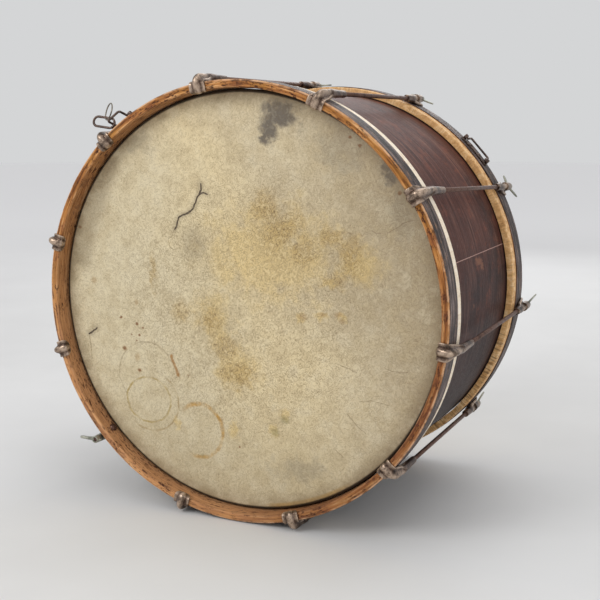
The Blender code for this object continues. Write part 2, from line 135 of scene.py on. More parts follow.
class Finish(Nodes):
    """A procedural material under construction."""

    def __init__(self, name, roughness=0.5):
        self.material = bpy.data.materials.new(name)
        self.material.use_nodes = True
        super().__init__(self.material.node_tree)
        self.shader = self.tree.nodes["Principled BSDF"]
        self.shader.inputs["Roughness"].default_value = roughness
        place = self.node("ShaderNodeTexCoord").outputs["Object"]
        self.place = self.vector("SUBTRACT", place, CENTRE)
        self.x, self.y, self.z = self.node("ShaderNodeSeparateXYZ", (self.place,)).outputs

    def times(self, first, second):
        return self.math("MULTIPLY", first, second)

    def plus(self, first, second):
        return self.math("ADD", first, second)

    def minus(self, first, second):
        return self.math("SUBTRACT", first, second)

    def about(self, pattern, reach):
        """A pattern of 0 to 1 as one that goes to either side of 0, half of reach each way."""
        return self.times(self.minus(pattern, 0.5), reach)

    def vector(self, operation, *values):
        made = self.node("ShaderNodeVectorMath", values, operation=operation)
        single = operation in ("LENGTH", "DOT_PRODUCT")
        return made.outputs["Value" if single else "Vector"]

    def dot(self, first, second):
        return self.vector("DOT_PRODUCT", first, second)

    def scaled(self, vector, factor):
        values = {0: vector, "Scale": factor}
        return self.node("ShaderNodeVectorMath", values, operation="SCALE").outputs["Vector"]

    def span(self, value, low, high, first=0.0, last=1.0):
        """Goes smoothly from first to last while value goes from low to high."""
        values = (value, low, high, first, last)
        return self.node("ShaderNodeMapRange", values, interpolation_type="SMOOTHSTEP").outputs[0]

    def noise(self, scale, place=None, detail=4.0, rough=0.55, twist=0.0, output=0):
        values = {"Vector": self.place if place is None else place, "Scale": scale,
                  "Detail": detail, "Roughness": rough, "Distortion": twist}
        return self.node("ShaderNodeTexNoise", values).outputs[output]

    def cells(self, scale, feature="F1"):
        values = {"Vector": self.place, "Scale": scale}
        return self.node("ShaderNodeTexVoronoi", values, feature=feature).outputs["Distance"]

    def mix(self, factor, first, second):
        """Goes from the first colour to the second, a node's output or a colour as on screen."""
        values = {0: factor, 6: first, 7: shade(*second) if isinstance(second, tuple) else second}
        return self.node("ShaderNodeMix", values, data_type="RGBA").outputs[2]

    def ramp(self, factor, *stops):
        """Colours along a factor: each stop is (place, red, green, blue) as on screen."""
        made = self.node("ShaderNodeValToRGB", (factor,))
        band = made.color_ramp.elements
        while len(band) < len(stops):
            band.new(0.5)
        for element, stop in zip(band, stops):
            element.position = stop[0]
            element.color = shade(*stop[1:])
        return made.outputs[0]

    def flat(self):
        """Coordinates across the drum, without the place along its axis."""
        return self.node("ShaderNodeCombineXYZ", {0: self.x, 2: self.z}).outputs[0]

    def round_place(self, along, across):
        """Coordinates that stretch a pattern round the drum (along) and over its width."""
        flat = self.flat()
        way = self.scaled(self.vector("NORMALIZE", flat), along * HOOP_OUTER)
        over = self.node("ShaderNodeCombineXYZ")
        width = self.plus(self.y, self.vector("LENGTH", flat))
        self.link(self.times(width, across), over.inputs[1])
        return self.vector("ADD", way, over.outputs[0])

    def radius(self):
        return self.vector("LENGTH", self.flat())

    def done(self, colour, height, depth, strength, **others):
        """The finished material: its colour, its bump and the shader's other sockets by name."""
        self.link(colour, self.shader.inputs["Base Color"])
        values = {"Strength": strength, "Distance": depth, "Height": height}
        bump = self.node("ShaderNodeBump", values)
        self.link(bump.outputs[0], self.shader.inputs["Normal"])
        for name, value in others.items():
            self.link(value, self.shader.inputs[name.capitalize()])
        return self.material


def nearest_line(finish, flat, lines):
    """Millimetres from the nearest of some lines, each a list of (x, z)."""
    best = None
    for line in lines:
        for first, last in zip(line, line[1:]):
            way = Vector((last[0] - first[0], 0, last[1] - first[1]))
            here = finish.vector("SUBTRACT", flat, (first[0], 0, first[1]))
            part = finish.vector("DOT_PRODUCT", here, way / way.length_squared)
            part = finish.math("MINIMUM", finish.math("MAXIMUM", part, 0.0), 1.0)
            off = finish.vector("SUBTRACT", here, finish.scaled(way, part))
            gap = finish.vector("LENGTH", off)
            best = gap if best is None else finish.math("MINIMUM", best, gap)
    return best


def nearest_spot(finish, flat, spots, axis=0):
    """0 at the middle and 1 at the rim of the nearest of some ovals.

    Each is (across, z, half across, half z), where across is x, or y when axis is 1.
    """
    best = None
    for across, z, half_across, half_z in spots:
        middle, stretch = [0, 0, z], [0, 0, 1 / half_z]
        middle[axis], stretch[axis] = across, 1 / half_across
        off = finish.vector("SUBTRACT", flat, middle)
        gap = finish.vector("LENGTH", finish.vector("MULTIPLY", off, stretch))
        best = gap if best is None else finish.math("MINIMUM", best, gap)
    return best


CRACKS = [
    [(-53.9, 157.7), (-58.8, 159), (-65.4, 158.1), (-70.5, 152.9), (-73.2, 144.2), (-78.4, 134.6),
     (-86, 129.2), (-94.5, 126.8), (-102.3, 121.4), (-105, 113.9), (-108.6, 105)],
    [(-64.4, 171.8), (-62.9, 163.2), (-67.1, 158.1)],
    [(-267.3, -65.5), (-260.6, -60.9), (-252.8, -54.8)],
]
FINE_LINES = [
    [(257.6, 132.3), (245.1, 127.8), (236.8, 122.2), (227, 115.1), (222.8, 113.6)],
    [(-108.6, 105), (-113.9, 95.9), (-121, 89.7), (-118.6, 79.4), (-112.7, 73.8)],
    [(-267.5, -68.7), (-265.3, -85.9), (-264.1, -103.4)],
    [(200, 116.6), (205.8, 111.5), (212.9, 113.1)],
    [(221.2, -72.9), (231.4, -74.6), (242.9, -76.3), (254.3, -74.4)],
    [(148.6, -72.9), (162.2, -75.9), (180.2, -82.6)],
    [(165.7, -142.9), (174.9, -151.9), (182.4, -159.6), (194.5, -168.2)],
    [(185.1, -123.4), (202.8, -120), (226.3, -123)],
    [(113.6, -124.2), (124.4, -114.3)],
    [(149.4, -197.4), (161.7, -207.4)],
]
DRIP = [[(-119.1, -85.8), (-116.7, -95.6), (-111.6, -104.3), (-107.5, -114.7)]]
RIM_SHADE = [[(-215, 195), (-239.7, 143.4), (-262, 95), (-272.9, 50.2)]]
DARK_SPOTS = [
    (-207.8, -34, 2.2, 1.8), (-179.1, -42.5, 2.6, 2.2), (-168.5, -47.8, 1.6, 1.6),
    (-175.1, -59.2, 1.8, 1.5), (-189.6, -59.7, 1.2, 1.2), (-203, -81.9, 3.0, 2.6),
    (-176.7, -113.9, 2.2, 2.0), (-179.9, -68.2, 1.2, 1.2), (-278.3, 100.9, 2.6, 2.2),
    (-91, -113, 1.3, 1.3), (-4.2, -213.2, 1.4, 1.4), (181.5, 228.2, 2.6, 2.2),
    (167, 240, 2.2, 2.0), (238.9, 167.3, 2.4, 2.6),
]
HALOS = [
    (-255.5, 20.2, 7, 6), (-203, -81.9, 6.5, 6), (-176.7, -113.9, 5.5, 5), (-179, -8.7, 5, 5),
    (-179.8, -93.8, 6, 9), (98, -10.2, 10, 6), (127.1, -5.1, 9, 5), (151.2, -3.3, 8, 5),
    (157.2, -12.6, 6, 5), (-119.1, -85.8, 4, 4), (-107.5, -114.7, 4, 4), (-34, -183, 4, 14),
]
GREEN_SPOTS = [
    (69.6, -163.1, 10, 8), (53.4, -183.1, 9, 8), (-67, -236, 7, 5),
]
SMUDGES = [
    (64, 272, 27, 19), (48, 250, 15, 15), (38, 238, 8, 10), (219, 200, 8, 8), (227, 187, 8, 10),
]
# Grey ovals: the ones along the rim at the right, at the top right and near the bottom are painted
# shade; the others are grey smudges.
GREY_SPOTS_AND_SHADOWS = [
    (-170, 228, 26, 16), (93, -235, 40, 22), (-76, 84, 28, 30), (242, 145, 16, 56),
    (158, 226, 52, 40),
]
TAN_STAINS = [
    (42, 143, 24, 28), (62, 112, 33, 34), (92, 84, 24, 20), (168, 82, 18, 36), (140, 104, 20, 14),
    (-52, -30, 18, 24), (-28, -64, 24, 20), (-5, -106, 26, 19), (-104, -18, 14, 18),
    (150, 44, 18, 12), (-148.3, 38.9, 6, 34),
]
GOLD_STAINS = [
    (45, 76, 122, 72), (-6, -96, 36, 36), (182, 66, 36, 30), (93, -12, 10, 9), (127, -9, 12, 8),
    (157, -7, 10, 8), (135, 40, 18, 10), (-44, -20, 36, 46), (53, -180, 9, 12), (70, -156, 9, 9),
    (-12, -190, 10, 16), (-112, -188, 5, 11),
]
# Stains, grey spots and painted shadows with ragged edges: (ovals, where the fading starts and
# ends, strength, colour).
STAINS_AND_SHADOWS = [
    (GOLD_STAINS, 0.3, 1.3, 0.50, (216, 184, 108)), (TAN_STAINS, 0.2, 1.4, 0.52, (178, 146, 80)),
    (GREY_SPOTS_AND_SHADOWS, 0.3, 1.3, 0.46, (138, 126, 104)), (SMUDGES, 0.3, 1.45, 0.95, (98, 90, 80)),
]
# Each cup stain is (x, z, half x, half z, line width, strength, colour, clearest direction in
# degrees, spread in degrees).
CUP_STAINS = [
    (-161, -158.5, 39, 35, 2.0, 0.90, (168, 142, 76), 200, 360),
    (-156.5, -160, 48.5, 46.5, 1.8, 0.60, (158, 130, 82), 330, 200),
    (-72, -196.5, 39, 41, 3.8, 1.0, (186, 142, 66), 12, 220),
    (-163, -119, 50, 50, 1.4, 0.50, (136, 116, 88), 120, 190),
]


def skin_finish(name, marked):
    """Old calfskin: cream, mottled and fibrous, with painted shade at the top right and at the
    rim; the front one carries the photographed marks, some of them painted shadows.
    """
    f = Finish(name, roughness=0.55)
    big = f.noise(7, detail=3)
    patch = f.noise(38, detail=5, rough=0.6)
    fibre = f.noise(230, detail=4, rough=0.66, twist=1.5)
    # The ramp along side is partly the skin's own tone (cream at the left, yellower in the middle,
    # greyer at the right) and partly painted shade, darkest towards the top right; the rear skin
    # gets the same.
    side = f.plus(f.times(f.x, 1.6), f.times(f.z, 0.5))
    side = f.plus(side, f.about(big, 0.5))
    tone = f.ramp(f.span(side, -0.30, 0.80), (0.0, 215, 201, 167), (0.20, 225, 206, 163),
                  (0.45, 207, 191, 157), (0.72, 180, 163, 132), (1.0, 158, 143, 116))
    low = f.times(f.span(f.z, -0.10, -0.28), 0.6)
    tone = f.mix(low, tone, (188, 173, 141))
    tone = f.mix(f.span(patch, 0.42, 0.68, 0.0, 0.36), tone, (178, 158, 118))
    tone = f.mix(f.span(patch, 0.50, 0.30, 0.0, 0.34), tone, (218, 206, 176))
    wander = f.noise(90, detail=4, rough=0.5, output="Color")
    drift = f.vector("SUBTRACT", wander, (0.5, 0.5, 0.5))
    in_mm = f.vector("MULTIPLY", f.place, (1000, 0, 1000))
    flat = f.vector("ADD", in_mm, f.vector("MULTIPLY", drift, (5, 0, 5)))
    loose = f.vector("ADD", in_mm, f.vector("MULTIPLY", drift, (26, 0, 26)))
    radius = f.vector("LENGTH", in_mm)
    crease = None
    ragged = f.about(patch, 2.6)
    busy = f.span(radius, 110, 240, 1.0, 0.55)
    if marked:
        for spots, low, high, strength, colour in STAINS_AND_SHADOWS:
            edge = f.plus(nearest_spot(f, loose, spots), ragged)
            tone = f.mix(f.span(edge, low, high, strength, 0.0), tone, colour)
            if spots is TAN_STAINS:
                busy = f.plus(busy, f.span(edge, 0.3, 1.5, 0.5, 0.0))
        rim = nearest_line(f, flat, RIM_SHADE)
        tone = f.mix(f.span(rim, 2, 24, 0.46, 0.0), tone, (128, 112, 86))
        halo = nearest_spot(f, flat, HALOS)
        tone = f.mix(f.span(halo, 0.3, 1.1, 0.48, 0.0), tone, (158, 122, 72))
        green = nearest_spot(f, flat, GREEN_SPOTS)
        tone = f.mix(f.span(green, 0.3, 1.1, 0.5, 0.0), tone, (122, 118, 76))
        for x, z, half_x, half_z, width, strength, colour, way, spread in CUP_STAINS:
            off = f.vector("SUBTRACT", flat, (x, 0, z))
            size = f.vector("LENGTH", f.vector("MULTIPLY", off, (1 / half_x, 0, 1 / half_z)))
            gap = f.times(f.math("ABSOLUTE", f.minus(size, 1.0)), half_x)
            turn = math.radians(way)
            facing = f.dot(f.vector("NORMALIZE", off), (math.cos(turn), 0, math.sin(turn)))
            reach = math.cos(math.radians(min(spread, 360) / 2))
            seen = f.span(facing, reach - 0.35, reach + 0.25)
            broken = f.span(f.noise(55, detail=3), 0.36, 0.62, 0.25, 1.0)
            mask = f.times(f.span(gap, width * 0.3, width * 1.2, strength, 0.0), seen)
            tone = f.mix(f.times(mask, broken), tone, colour)
        amber = f.times(f.span(radius, 294, 298), f.span(f.z, -0.236, -0.262))
        amber = f.times(amber, f.span(f.x, 0.03, 0.06))
        tone = f.mix(f.times(amber, 0.75), tone, (190, 148, 66))
        net = f.span(f.cells(120, feature="DISTANCE_TO_EDGE"), 0.02, 0.08, 1.0, 0.0)
        crinkle = f.span(nearest_spot(f, loose, [(200, -142, 44, 40)]), 0.4, 1.2, 0.22, 0.0)
        tone = f.mix(f.times(net, crinkle), tone, (216, 204, 174))
        dark = f.span(nearest_spot(f, flat, DARK_SPOTS), 0.70, 1.45, 0.88, 0.0)
        tone = f.mix(dark, tone, (124, 78, 38))
        gap = nearest_line(f, flat, CRACKS)
        # A soft grey band up to 9 mm round the cracks is painted shade beside the scars.
        tone = f.mix(f.span(gap, 1.0, 9.0, 0.36, 0.0), tone, (134, 122, 100))
        cracks = f.span(gap, 0.8, 1.8, 0.95, 0.0)
        fine = f.span(nearest_line(f, flat, FINE_LINES), 0.2, 1.0, 0.5, 0.0)
        drip = f.span(nearest_line(f, flat, DRIP), 1.2, 2.8, 0.85, 0.0)
        tone = f.mix(cracks, tone, (46, 30, 20))
        tone = f.mix(fine, tone, (122, 100, 70))
        tone = f.mix(drip, tone, (168, 122, 66))
        crease = f.math("MAXIMUM", cracks, fine)
    curl = f.noise(115, detail=4, rough=0.62, twist=1.5)
    pale = f.times(f.span(curl, 0.48, 0.66, 0.0, 0.16), busy)
    tone = f.mix(pale, tone, (240, 226, 188))
    lines = f.span(f.math("ABSOLUTE", f.minus(curl, 0.5)), 0.0, 0.030, 0.62, 0.0)
    tone = f.mix(f.times(lines, busy), tone, (106, 82, 48))
    hairs = f.span(f.math("ABSOLUTE", f.minus(fibre, 0.5)), 0.0, 0.045, 0.44, 0.0)
    tone = f.mix(f.times(hairs, busy), tone, (116, 92, 56))
    speck = f.span(f.cells(150), 0.20, 0.08, 0.0, 0.50)
    speck = f.times(speck, f.span(patch, 0.50, 0.64))
    tone = f.mix(speck, tone, (118, 94, 62))
    # Darker from 276 mm out towards the hoop: partly grime and partly painted shade under the rim.
    grime_and_rim_shade = f.times(f.span(radius, 276, 302), f.span(patch, 0.3, 0.6, 0.2, 0.6))
    tone = f.mix(grime_and_rim_shade, tone, (140, 122, 92))
    # A near-black ring from 300 to 302 mm out is painted shadow in the gap between the hoop and
    # the skin.
    tone = f.mix(f.span(radius, 299.6, 302.4, 0.0, 0.92), tone, (28, 20, 15))
    height = f.plus(f.times(fibre, 0.5), f.times(curl, 0.7))
    height = f.minus(height, f.times(lines, 0.5))
    if crease is not None:
        height = f.minus(height, f.times(crease, 0.8))
    rough = f.span(fibre, 0.3, 0.7, 0.48, 0.66)
    return f.done(tone, height, depth=0.0007, strength=0.6, roughness=rough)


def hoop_finish():
    """Bent wood: worn black paint on the outer face, bare pitted wood on the edge and inside."""
    f = Finish("hoop_wood", roughness=0.5)
    streak = f.noise(260, f.round_place(0.05, 1.0), detail=5, rough=0.6)
    long_grain = f.noise(900, f.round_place(0.03, 1.0), detail=3)
    blotch = f.noise(28, detail=4)
    fine = f.noise(700, detail=4, rough=0.65)
    radius = f.radius()
    depth = f.minus(EDGE, f.math("ABSOLUTE", f.y))
    bare = f.ramp(streak, (0.34, 88, 46, 24), (0.45, 146, 92, 46), (0.55, 186, 126, 70),
                  (0.68, 228, 180, 126))
    bare = f.mix(f.span(blotch, 0.45, 0.68, 0.0, 0.45), bare, (180, 126, 58))
    bare = f.mix(f.span(blotch, 0.46, 0.32, 0.0, 0.6), bare, (116, 62, 42))
    inside = f.span(radius, 0.3092, 0.3076)
    inner = f.ramp(long_grain, (0.32, 92, 56, 32), (0.48, 158, 108, 66), (0.66, 208, 160, 114))
    bare = f.mix(f.times(inside, 0.8), bare, inner)
    # Painted light: the bare wood is paler and more golden towards the drum's lower left, where
    # light falls on it.
    lit_lower_left = f.dot(f.place, (-0.6, 0, -0.8))
    bare = f.mix(f.span(lit_lower_left, 0.08, 0.27, 0.0, 0.42), bare, (208, 156, 112))
    # Painted shade: the bare wood is darker towards the drum's lower right.
    shaded_lower_right = f.dot(f.place, (0.75, 0, -0.66))
    bare = f.mix(f.span(shaded_lower_right, 0.18, 0.28, 0.0, 0.45), bare, (108, 64, 44))
    pits = f.span(f.noise(300, f.round_place(0.30, 1.0), detail=4, rough=0.75), 0.52, 0.60)
    gather = f.span(f.noise(26, detail=4, rough=0.7), 0.38, 0.58, 0.15, 0.95)
    pits = f.times(pits, gather)
    bare = f.mix(pits, bare, (66, 34, 24))
    chips = f.span(f.noise(75, f.round_place(0.5, 1.0), detail=5, rough=0.7), 0.56, 0.63)
    chips = f.times(chips, f.span(radius, 0.3128, 0.3160, 0.0, 0.85))
    bare = f.mix(chips, bare, (50, 28, 24))
    # Pale pinkish wood along the outer corner of the edge: partly worn, paler wood and partly a
    # painted highlight.
    corner = f.times(f.span(radius, 0.3152, 0.3172), f.span(depth, 0.0040, 0.0012))
    worn = f.times(corner, f.span(f.noise(60, detail=4), 0.38, 0.58, 0.1, 0.9))
    bare = f.mix(worn, bare, (218, 172, 132))
    paint = f.ramp(f.noise(120, f.round_place(0.12, 1.0), detail=6, rough=0.7),
                   (0.34, 24, 18, 17), (0.47, 52, 42, 40), (0.56, 96, 82, 78),
                   (0.68, 150, 134, 130))
    scuff = f.noise(150, f.round_place(0.35, 1.0), detail=6, rough=0.75)
    scuff = f.span(scuff, 0.54, 0.66, 0, 0.8)
    paint = f.mix(scuff, paint, (150, 116, 90))
    f.shader.inputs["Specular IOR Level"].default_value = 0.15
    ragged = f.plus(depth, f.about(fine, 0.004))
    painted = f.times(f.span(radius, 0.3168, 0.3178), f.span(ragged, 0.0012, 0.0030))
    colour = f.mix(painted, bare, paint)
    height = f.plus(f.times(streak, 0.6), f.times(fine, 0.3))
    height = f.minus(height, pits)
    rough = f.span(fine, 0.3, 0.7, 0.38, 0.58)
    return f.done(colour, height, depth=0.0004, strength=0.7, roughness=rough)


# The pleats of the rear lap stand out most at the drum's lower right.
RIBBED_WAY = (0.73, 0, -0.68)


def lap_finish(name, stops, rib, rib_colour):
    """Skin lapped round its ring, pleated across its width."""
    f = Finish(name, roughness=0.6)
    pleat = f.noise(420, f.round_place(1.0, 0.08), detail=4, rough=0.6)
    mottle = f.noise(120, detail=5, rough=0.65)
    fine = f.noise(900, detail=3)
    colour = f.ramp(mottle, *stops)
    colour = f.mix(f.span(pleat, 0.50, 0.68, 0.0, rib), colour, rib_colour)
    toward = f.dot(f.vector("NORMALIZE", f.place), RIBBED_WAY)
    ribs = f.times(f.span(pleat, 0.50, 0.58), f.span(toward, 0.76, 0.82))
    colour = f.mix(f.times(ribs, rib), colour, tuple(c * 0.6 for c in rib_colour))
    height = f.plus(pleat, f.times(fine, 0.25))
    return f.done(colour, height, depth=0.0005, strength=0.6)


# Bare places on the shell's right side: y, z and half sizes in millimetres from the middle.
PEELS = [
    (2, 58, 26, 7), (14, 50, 12, 9), (-10, 62, 8, 4), (-39, -1.5, 3.0, 4.5), (147, 147, 1.5, 5),
]
SEAM_ANGLE = math.radians(13.05)


def shell_finish():
    """Dark mahogany varnish, streaked round the shell, with a pale seam along it."""
    f = Finish("shell_wood", roughness=0.42)
    streak = f.noise(150, f.round_place(0.07, 1.0), detail=6, rough=0.62)
    thread = f.noise(900, f.round_place(0.04, 1.0), detail=3, rough=0.6)
    cloud = f.noise(16, detail=4, rough=0.6)
    dust = f.noise(520, f.round_place(0.35, 1.0), detail=5, rough=0.7)
    dark = f.ramp(streak, (0.28, 32, 20, 19), (0.46, 50, 34, 33), (0.60, 64, 46, 44),
                  (0.76, 98, 74, 68))
    red = f.ramp(streak, (0.28, 52, 26, 22), (0.46, 80, 46, 39), (0.60, 98, 62, 52),
                 (0.76, 136, 98, 82))
    # Painted light: the shell is lighter and redder towards the top, and the reddish patches over
    # its upper part are partly the wood's tint and partly painted light.
    high = f.plus(f.z, f.about(cloud, 0.5))
    colour = f.mix(f.span(high, -0.10, 0.22), dark, red)
    lit_red_patches = f.span(f.noise(34, detail=5, rough=0.7), 0.54, 0.68, 0.0, 0.5)
    colour = f.mix(f.times(lit_red_patches, f.span(f.z, -0.12, 0.05)), colour, (128, 72, 52))
    # Painted shade: the shell darkens to near black towards the bottom.
    colour = f.mix(f.span(f.z, -0.06, -0.22, 0.0, 0.55), colour, (26, 19, 18))
    colour = f.mix(f.span(thread, 0.56, 0.75, 0.0, 0.25), colour, (128, 98, 88))
    colour = f.mix(f.span(dust, 0.56, 0.72, 0.0, 0.50), colour, (132, 112, 104))
    colour = f.mix(f.span(cloud, 0.5, 0.32, 0.0, 0.35), colour, (36, 26, 28))
    scratch = f.noise(60, f.round_place(1.0, 14.0), detail=2)
    scratch = f.times(f.span(scratch, 0.735, 0.76), f.span(cloud, 0.5, 0.6))
    colour = f.mix(f.times(scratch, 0.6), colour, (168, 140, 128))
    across = f.dot(f.place, (-math.sin(SEAM_ANGLE), 0, math.cos(SEAM_ANGLE)))
    near = f.dot(f.place, (math.cos(SEAM_ANGLE), 0, math.sin(SEAM_ANGLE)))
    ragged = f.about(f.noise(240, detail=4), 0.0016)
    line = f.span(f.math("ABSOLUTE", f.plus(across, ragged)), 0.0002, 0.0009, 1.0, 0.0)
    line = f.times(line, f.span(near, 0.0, 0.1))
    in_mm = f.vector("MULTIPLY", f.place, (0, 1000, 1000))
    wander = f.noise(320, detail=4, rough=0.7)
    peel = f.plus(nearest_spot(f, in_mm, PEELS, axis=1), f.about(wander, 2.2))
    peel = f.times(f.span(peel, 0.45, 0.95, 1.0, 0.0), f.span(near, 0.0, 0.1, 0.0, 0.5))
    colour = f.mix(peel, colour, (150, 102, 78))
    colour = f.mix(f.times(line, 0.8), colour, (188, 152, 140))
    inside = f.span(f.radius(), 0.3020, 0.3005)
    grain = f.ramp(streak, (0.3, 120, 84, 54), (0.5, 158, 116, 78), (0.7, 186, 146, 104))
    colour = f.mix(inside, colour, grain)
    height = f.plus(f.times(streak, 0.5), f.times(thread, 0.25))
    height = f.plus(height, f.times(line, -0.6))
    rough = f.span(dust, 0.35, 0.7, 0.42, 0.62)
    f.shader.inputs["Specular IOR Level"].default_value = 0.08
    return f.done(colour, height, depth=0.0003, strength=0.45, roughness=rough)


def metal_finish(name, dark, middle, pale, rust, rusty, gloss, grain=220, wear=0.0):
    """Old plated iron: plating, rust and pale patina; worn edges are bright, partly with a painted
    highlight.
    """
    f = Finish(name)
    cloud = f.noise(grain * 0.35, detail=5, rough=0.65)
    fine = f.noise(grain * 3.2, detail=5, rough=0.7)
    colour = f.ramp(cloud, (0.30, *dark), (0.50, *middle), (0.72, *pale))
    rust_mask = f.plus(f.times(cloud, 0.6), f.times(fine, 0.4))
    rust_mask = f.span(rust_mask, 0.56 - rusty * 0.14, 0.66 - rusty * 0.14)
    colour = f.mix(rust_mask, colour, rust)
    colour = f.mix(f.span(fine, 0.62, 0.74, 0.0, 0.6), colour, tuple(c * 0.45 for c in dark))
    if wear:
        # Pale rims where the edges are worn: partly real rubbing and partly a painted highlight.
        edges = f.node("ShaderNodeAttribute", attribute_name="wear").outputs["Fac"]
        rubbed_and_highlit = f.times(f.times(edges, f.span(cloud, 0.36, 0.56, 0.2, 1.0)), wear)
        colour = f.mix(rubbed_and_highlit, colour, pale)
    metal = f.span(rust_mask, 0.0, 1.0, 0.85, 0.25)
    rough = f.plus(f.span(fine, 0.3, 0.7, gloss - 0.08, gloss + 0.14), f.times(rust_mask, 0.18))
    height = f.plus(f.times(fine, 0.6), f.times(cloud, 0.4))
    return f.done(colour, height, depth=0.0003, strength=0.6, roughness=rough, metallic=metal)


def floor_finish():
    f = Finish("pale_floor", roughness=0.85)
    tone = f.ramp(f.noise(3.0, detail=3), (0.3, 214, 214, 213), (0.7, 220, 220, 219))
    away = f.span(f.vector("LENGTH", f.place), 1.0, 5.0)
    tone = f.mix(away, tone, (250, 250, 250))
    return f.done(tone, f.noise(90, detail=3), depth=0.0003, strength=0.15)


def bare_finish():
    f = Finish("bare_wood", roughness=0.65)
    streak = f.noise(300, f.round_place(0.05, 1.0), detail=5)
    tone = f.ramp(streak, (0.3, 122, 86, 54), (0.5, 160, 120, 78), (0.7, 190, 152, 108))
    return f.done(tone, streak, depth=0.0003, strength=0.5)


FINISH = {
    "front_skin": skin_finish("front_skin", True),
    "rear_skin": skin_finish("rear_skin", False),
    "hoop": hoop_finish(),
    # The two laps are one skin: the front lap's paler cream is painted light, and the rear lap's
    # tan is the skin's own colour.
    "front_lap": lap_finish("front_lap", ((0.3, 226, 204, 172), (0.5, 248, 232, 208),
                                          (0.7, 254, 244, 228)), 0.25, (206, 180, 146)),
    "rear_lap": lap_finish("rear_lap", ((0.3, 186, 136, 80), (0.5, 222, 174, 114),
                                        (0.7, 246, 212, 164)), 0.5, (160, 114, 68)),
    "shell": shell_finish(),
    "bare": bare_finish(),
    "claw": metal_finish("claw_iron", (26, 18, 15), (78, 58, 47), (206, 182, 160), (62, 36, 26),
                         0.5, 0.31, wear=0.78),
    "rod": metal_finish("rod_steel", (48, 32, 27), (108, 80, 68), (172, 140, 122), (84, 54, 44),
                        0.6, 0.42),
    "nut": metal_finish("nut_metal", (78, 78, 70), (140, 141, 128), (208, 209, 194), (98, 86, 66),
                        0.35, 0.42, wear=0.6),
    "wire": metal_finish("bail_wire", (44, 34, 31), (94, 79, 72), (176, 158, 146), (84, 58, 46),
                         0.5, 0.36),
    "ring": metal_finish("ring_wire", (74, 66, 58), (134, 126, 114), (198, 190, 176),
                         (104, 82, 62), 0.3, 0.34),
}


class Shape:
    """The points and faces of one piece."""

    def __init__(self):
        self.points, self.faces, self.wear = [], [], []

    def add(self, made, matrix=None, wear=0.0):
        points, faces = made
        start = len(self.points)
        self.points += [matrix @ Vector(p) if matrix else Vector(p) for p in points]
        self.faces += [tuple(start + i for i in face) for face in faces]
        self.wear += [wear] * len(points)
        return self

    def mesh(self, name):
        made = bpy.data.meshes.new(name)
        made.from_pydata([tuple(p) for p in self.points], [], self.faces)
        shape = bmesh.new()
        shape.from_mesh(made)
        bmesh.ops.recalc_face_normals(shape, faces=shape.faces)
        shape.to_mesh(made)
        shape.free()
        layer = made.attributes.new("wear", "FLOAT", "POINT")
        layer.data.foreach_set("value", self.wear)
        return made


def turned(outline, sides, closed=True, change=None):
    """An outline of (radius, y) turned about local Y. A point of radius 0 closes it."""
    points, rows = [], []
    for radius, height in outline:
        if radius == 0:
            rows.append([len(points)] * sides)
            points.append((0, height, 0))
            continue
        rows.append(list(range(len(points), len(points) + sides)))
        for i in range(sides):
            turn = 2 * math.pi * i / sides
            r, h = change(turn, radius, height) if change else (radius, height)
            points.append((r * math.cos(turn), h, r * math.sin(turn)))
    faces = []
    for low, high in zip(rows, rows[1:] + rows[:1] if closed else rows[1:]):
        for i in range(sides):
            j = (i + 1) % sides
            face = []
            for index in (low[i], low[j], high[j], high[i]):
                if index not in face:
                    face.append(index)
            if len(face) > 2:
                faces.append(face)
    return points, faces


def wire(path, radius, sides=16, cyclic=False, rough=0.0):
    """A round wire along a path of (x, z) in the local XZ plane."""
    count = len(path)
    path = [Vector((x, 0, z)) for x, z in path]
    points = []
    for i, here in enumerate(path):
        before = path[i - 1] if i or cyclic else here
        after = path[(i + 1) % count] if i < count - 1 or cyclic else here
        way = (after - before).normalized()
        side = Vector((0, 1, 0)).cross(way)
        swell = radius * (1 + rough * noise.noise(here * 700))
        for k in range(sides):
            turn = 2 * math.pi * k / sides
            points.append(here + side * (swell * math.cos(turn))
                          + Vector((0, swell * math.sin(turn), 0)))
    faces = []
    for i in range(count if cyclic else count - 1):
        for k in range(sides):
            a, b = i * sides, ((i + 1) % count) * sides
            faces.append((a + k, a + (k + 1) % sides, b + (k + 1) % sides, b + k))
    if not cyclic:
        faces.append(tuple(range(sides)))
        faces.append(tuple(reversed(range((count - 1) * sides, count * sides))))
    return points, faces


def loft(rows):
    """Faces between rows of equally many points, with both ends closed."""
    size = len(rows[0])
    points = [p for row in rows for p in row]
    faces = []
    for i in range(len(rows) - 1):
        for k in range(size):
            j = (k + 1) % size
            faces.append((i * size + k, i * size + j, (i + 1) * size + j, (i + 1) * size + k))
    faces.append(tuple(range(size)))
    faces.append(tuple(reversed(range((len(rows) - 1) * size, len(rows) * size))))
    return points, faces


def spin(degrees, axis):
    return Matrix.Rotation(math.radians(degrees), 4, axis)


def in_scene(name, data):
    obj = bpy.data.objects.new(name, data)
    bpy.context.scene.collection.objects.link(obj)
    return obj


def worked(obj, *tools):
    """The object's mesh after its modifiers; the object and its tools are removed."""
    bpy.context.view_layer.update()
    graph = bpy.context.evaluated_depsgraph_get()
    made = bpy.data.meshes.new_from_object(obj.evaluated_get(graph))
    for used in (obj, *tools):
        bpy.data.objects.remove(used)
    return made


def subdivided(mesh, levels):
    """The mesh after Catmull-Clark subdivision."""
    obj = in_scene("work", mesh)
    step = obj.modifiers.new("soft", "SUBSURF")
    step.levels = step.render_levels = levels
    return worked(obj)


def cut(mesh, tool_mesh):
    """The mesh with the tool's shape taken out."""
    body, tool = in_scene("work", mesh), in_scene("work_tool", tool_mesh)
    step = body.modifiers.new("cut", "BOOLEAN")
    step.operation, step.solver, step.object = "DIFFERENCE", "EXACT", tool
    return worked(body, tool)


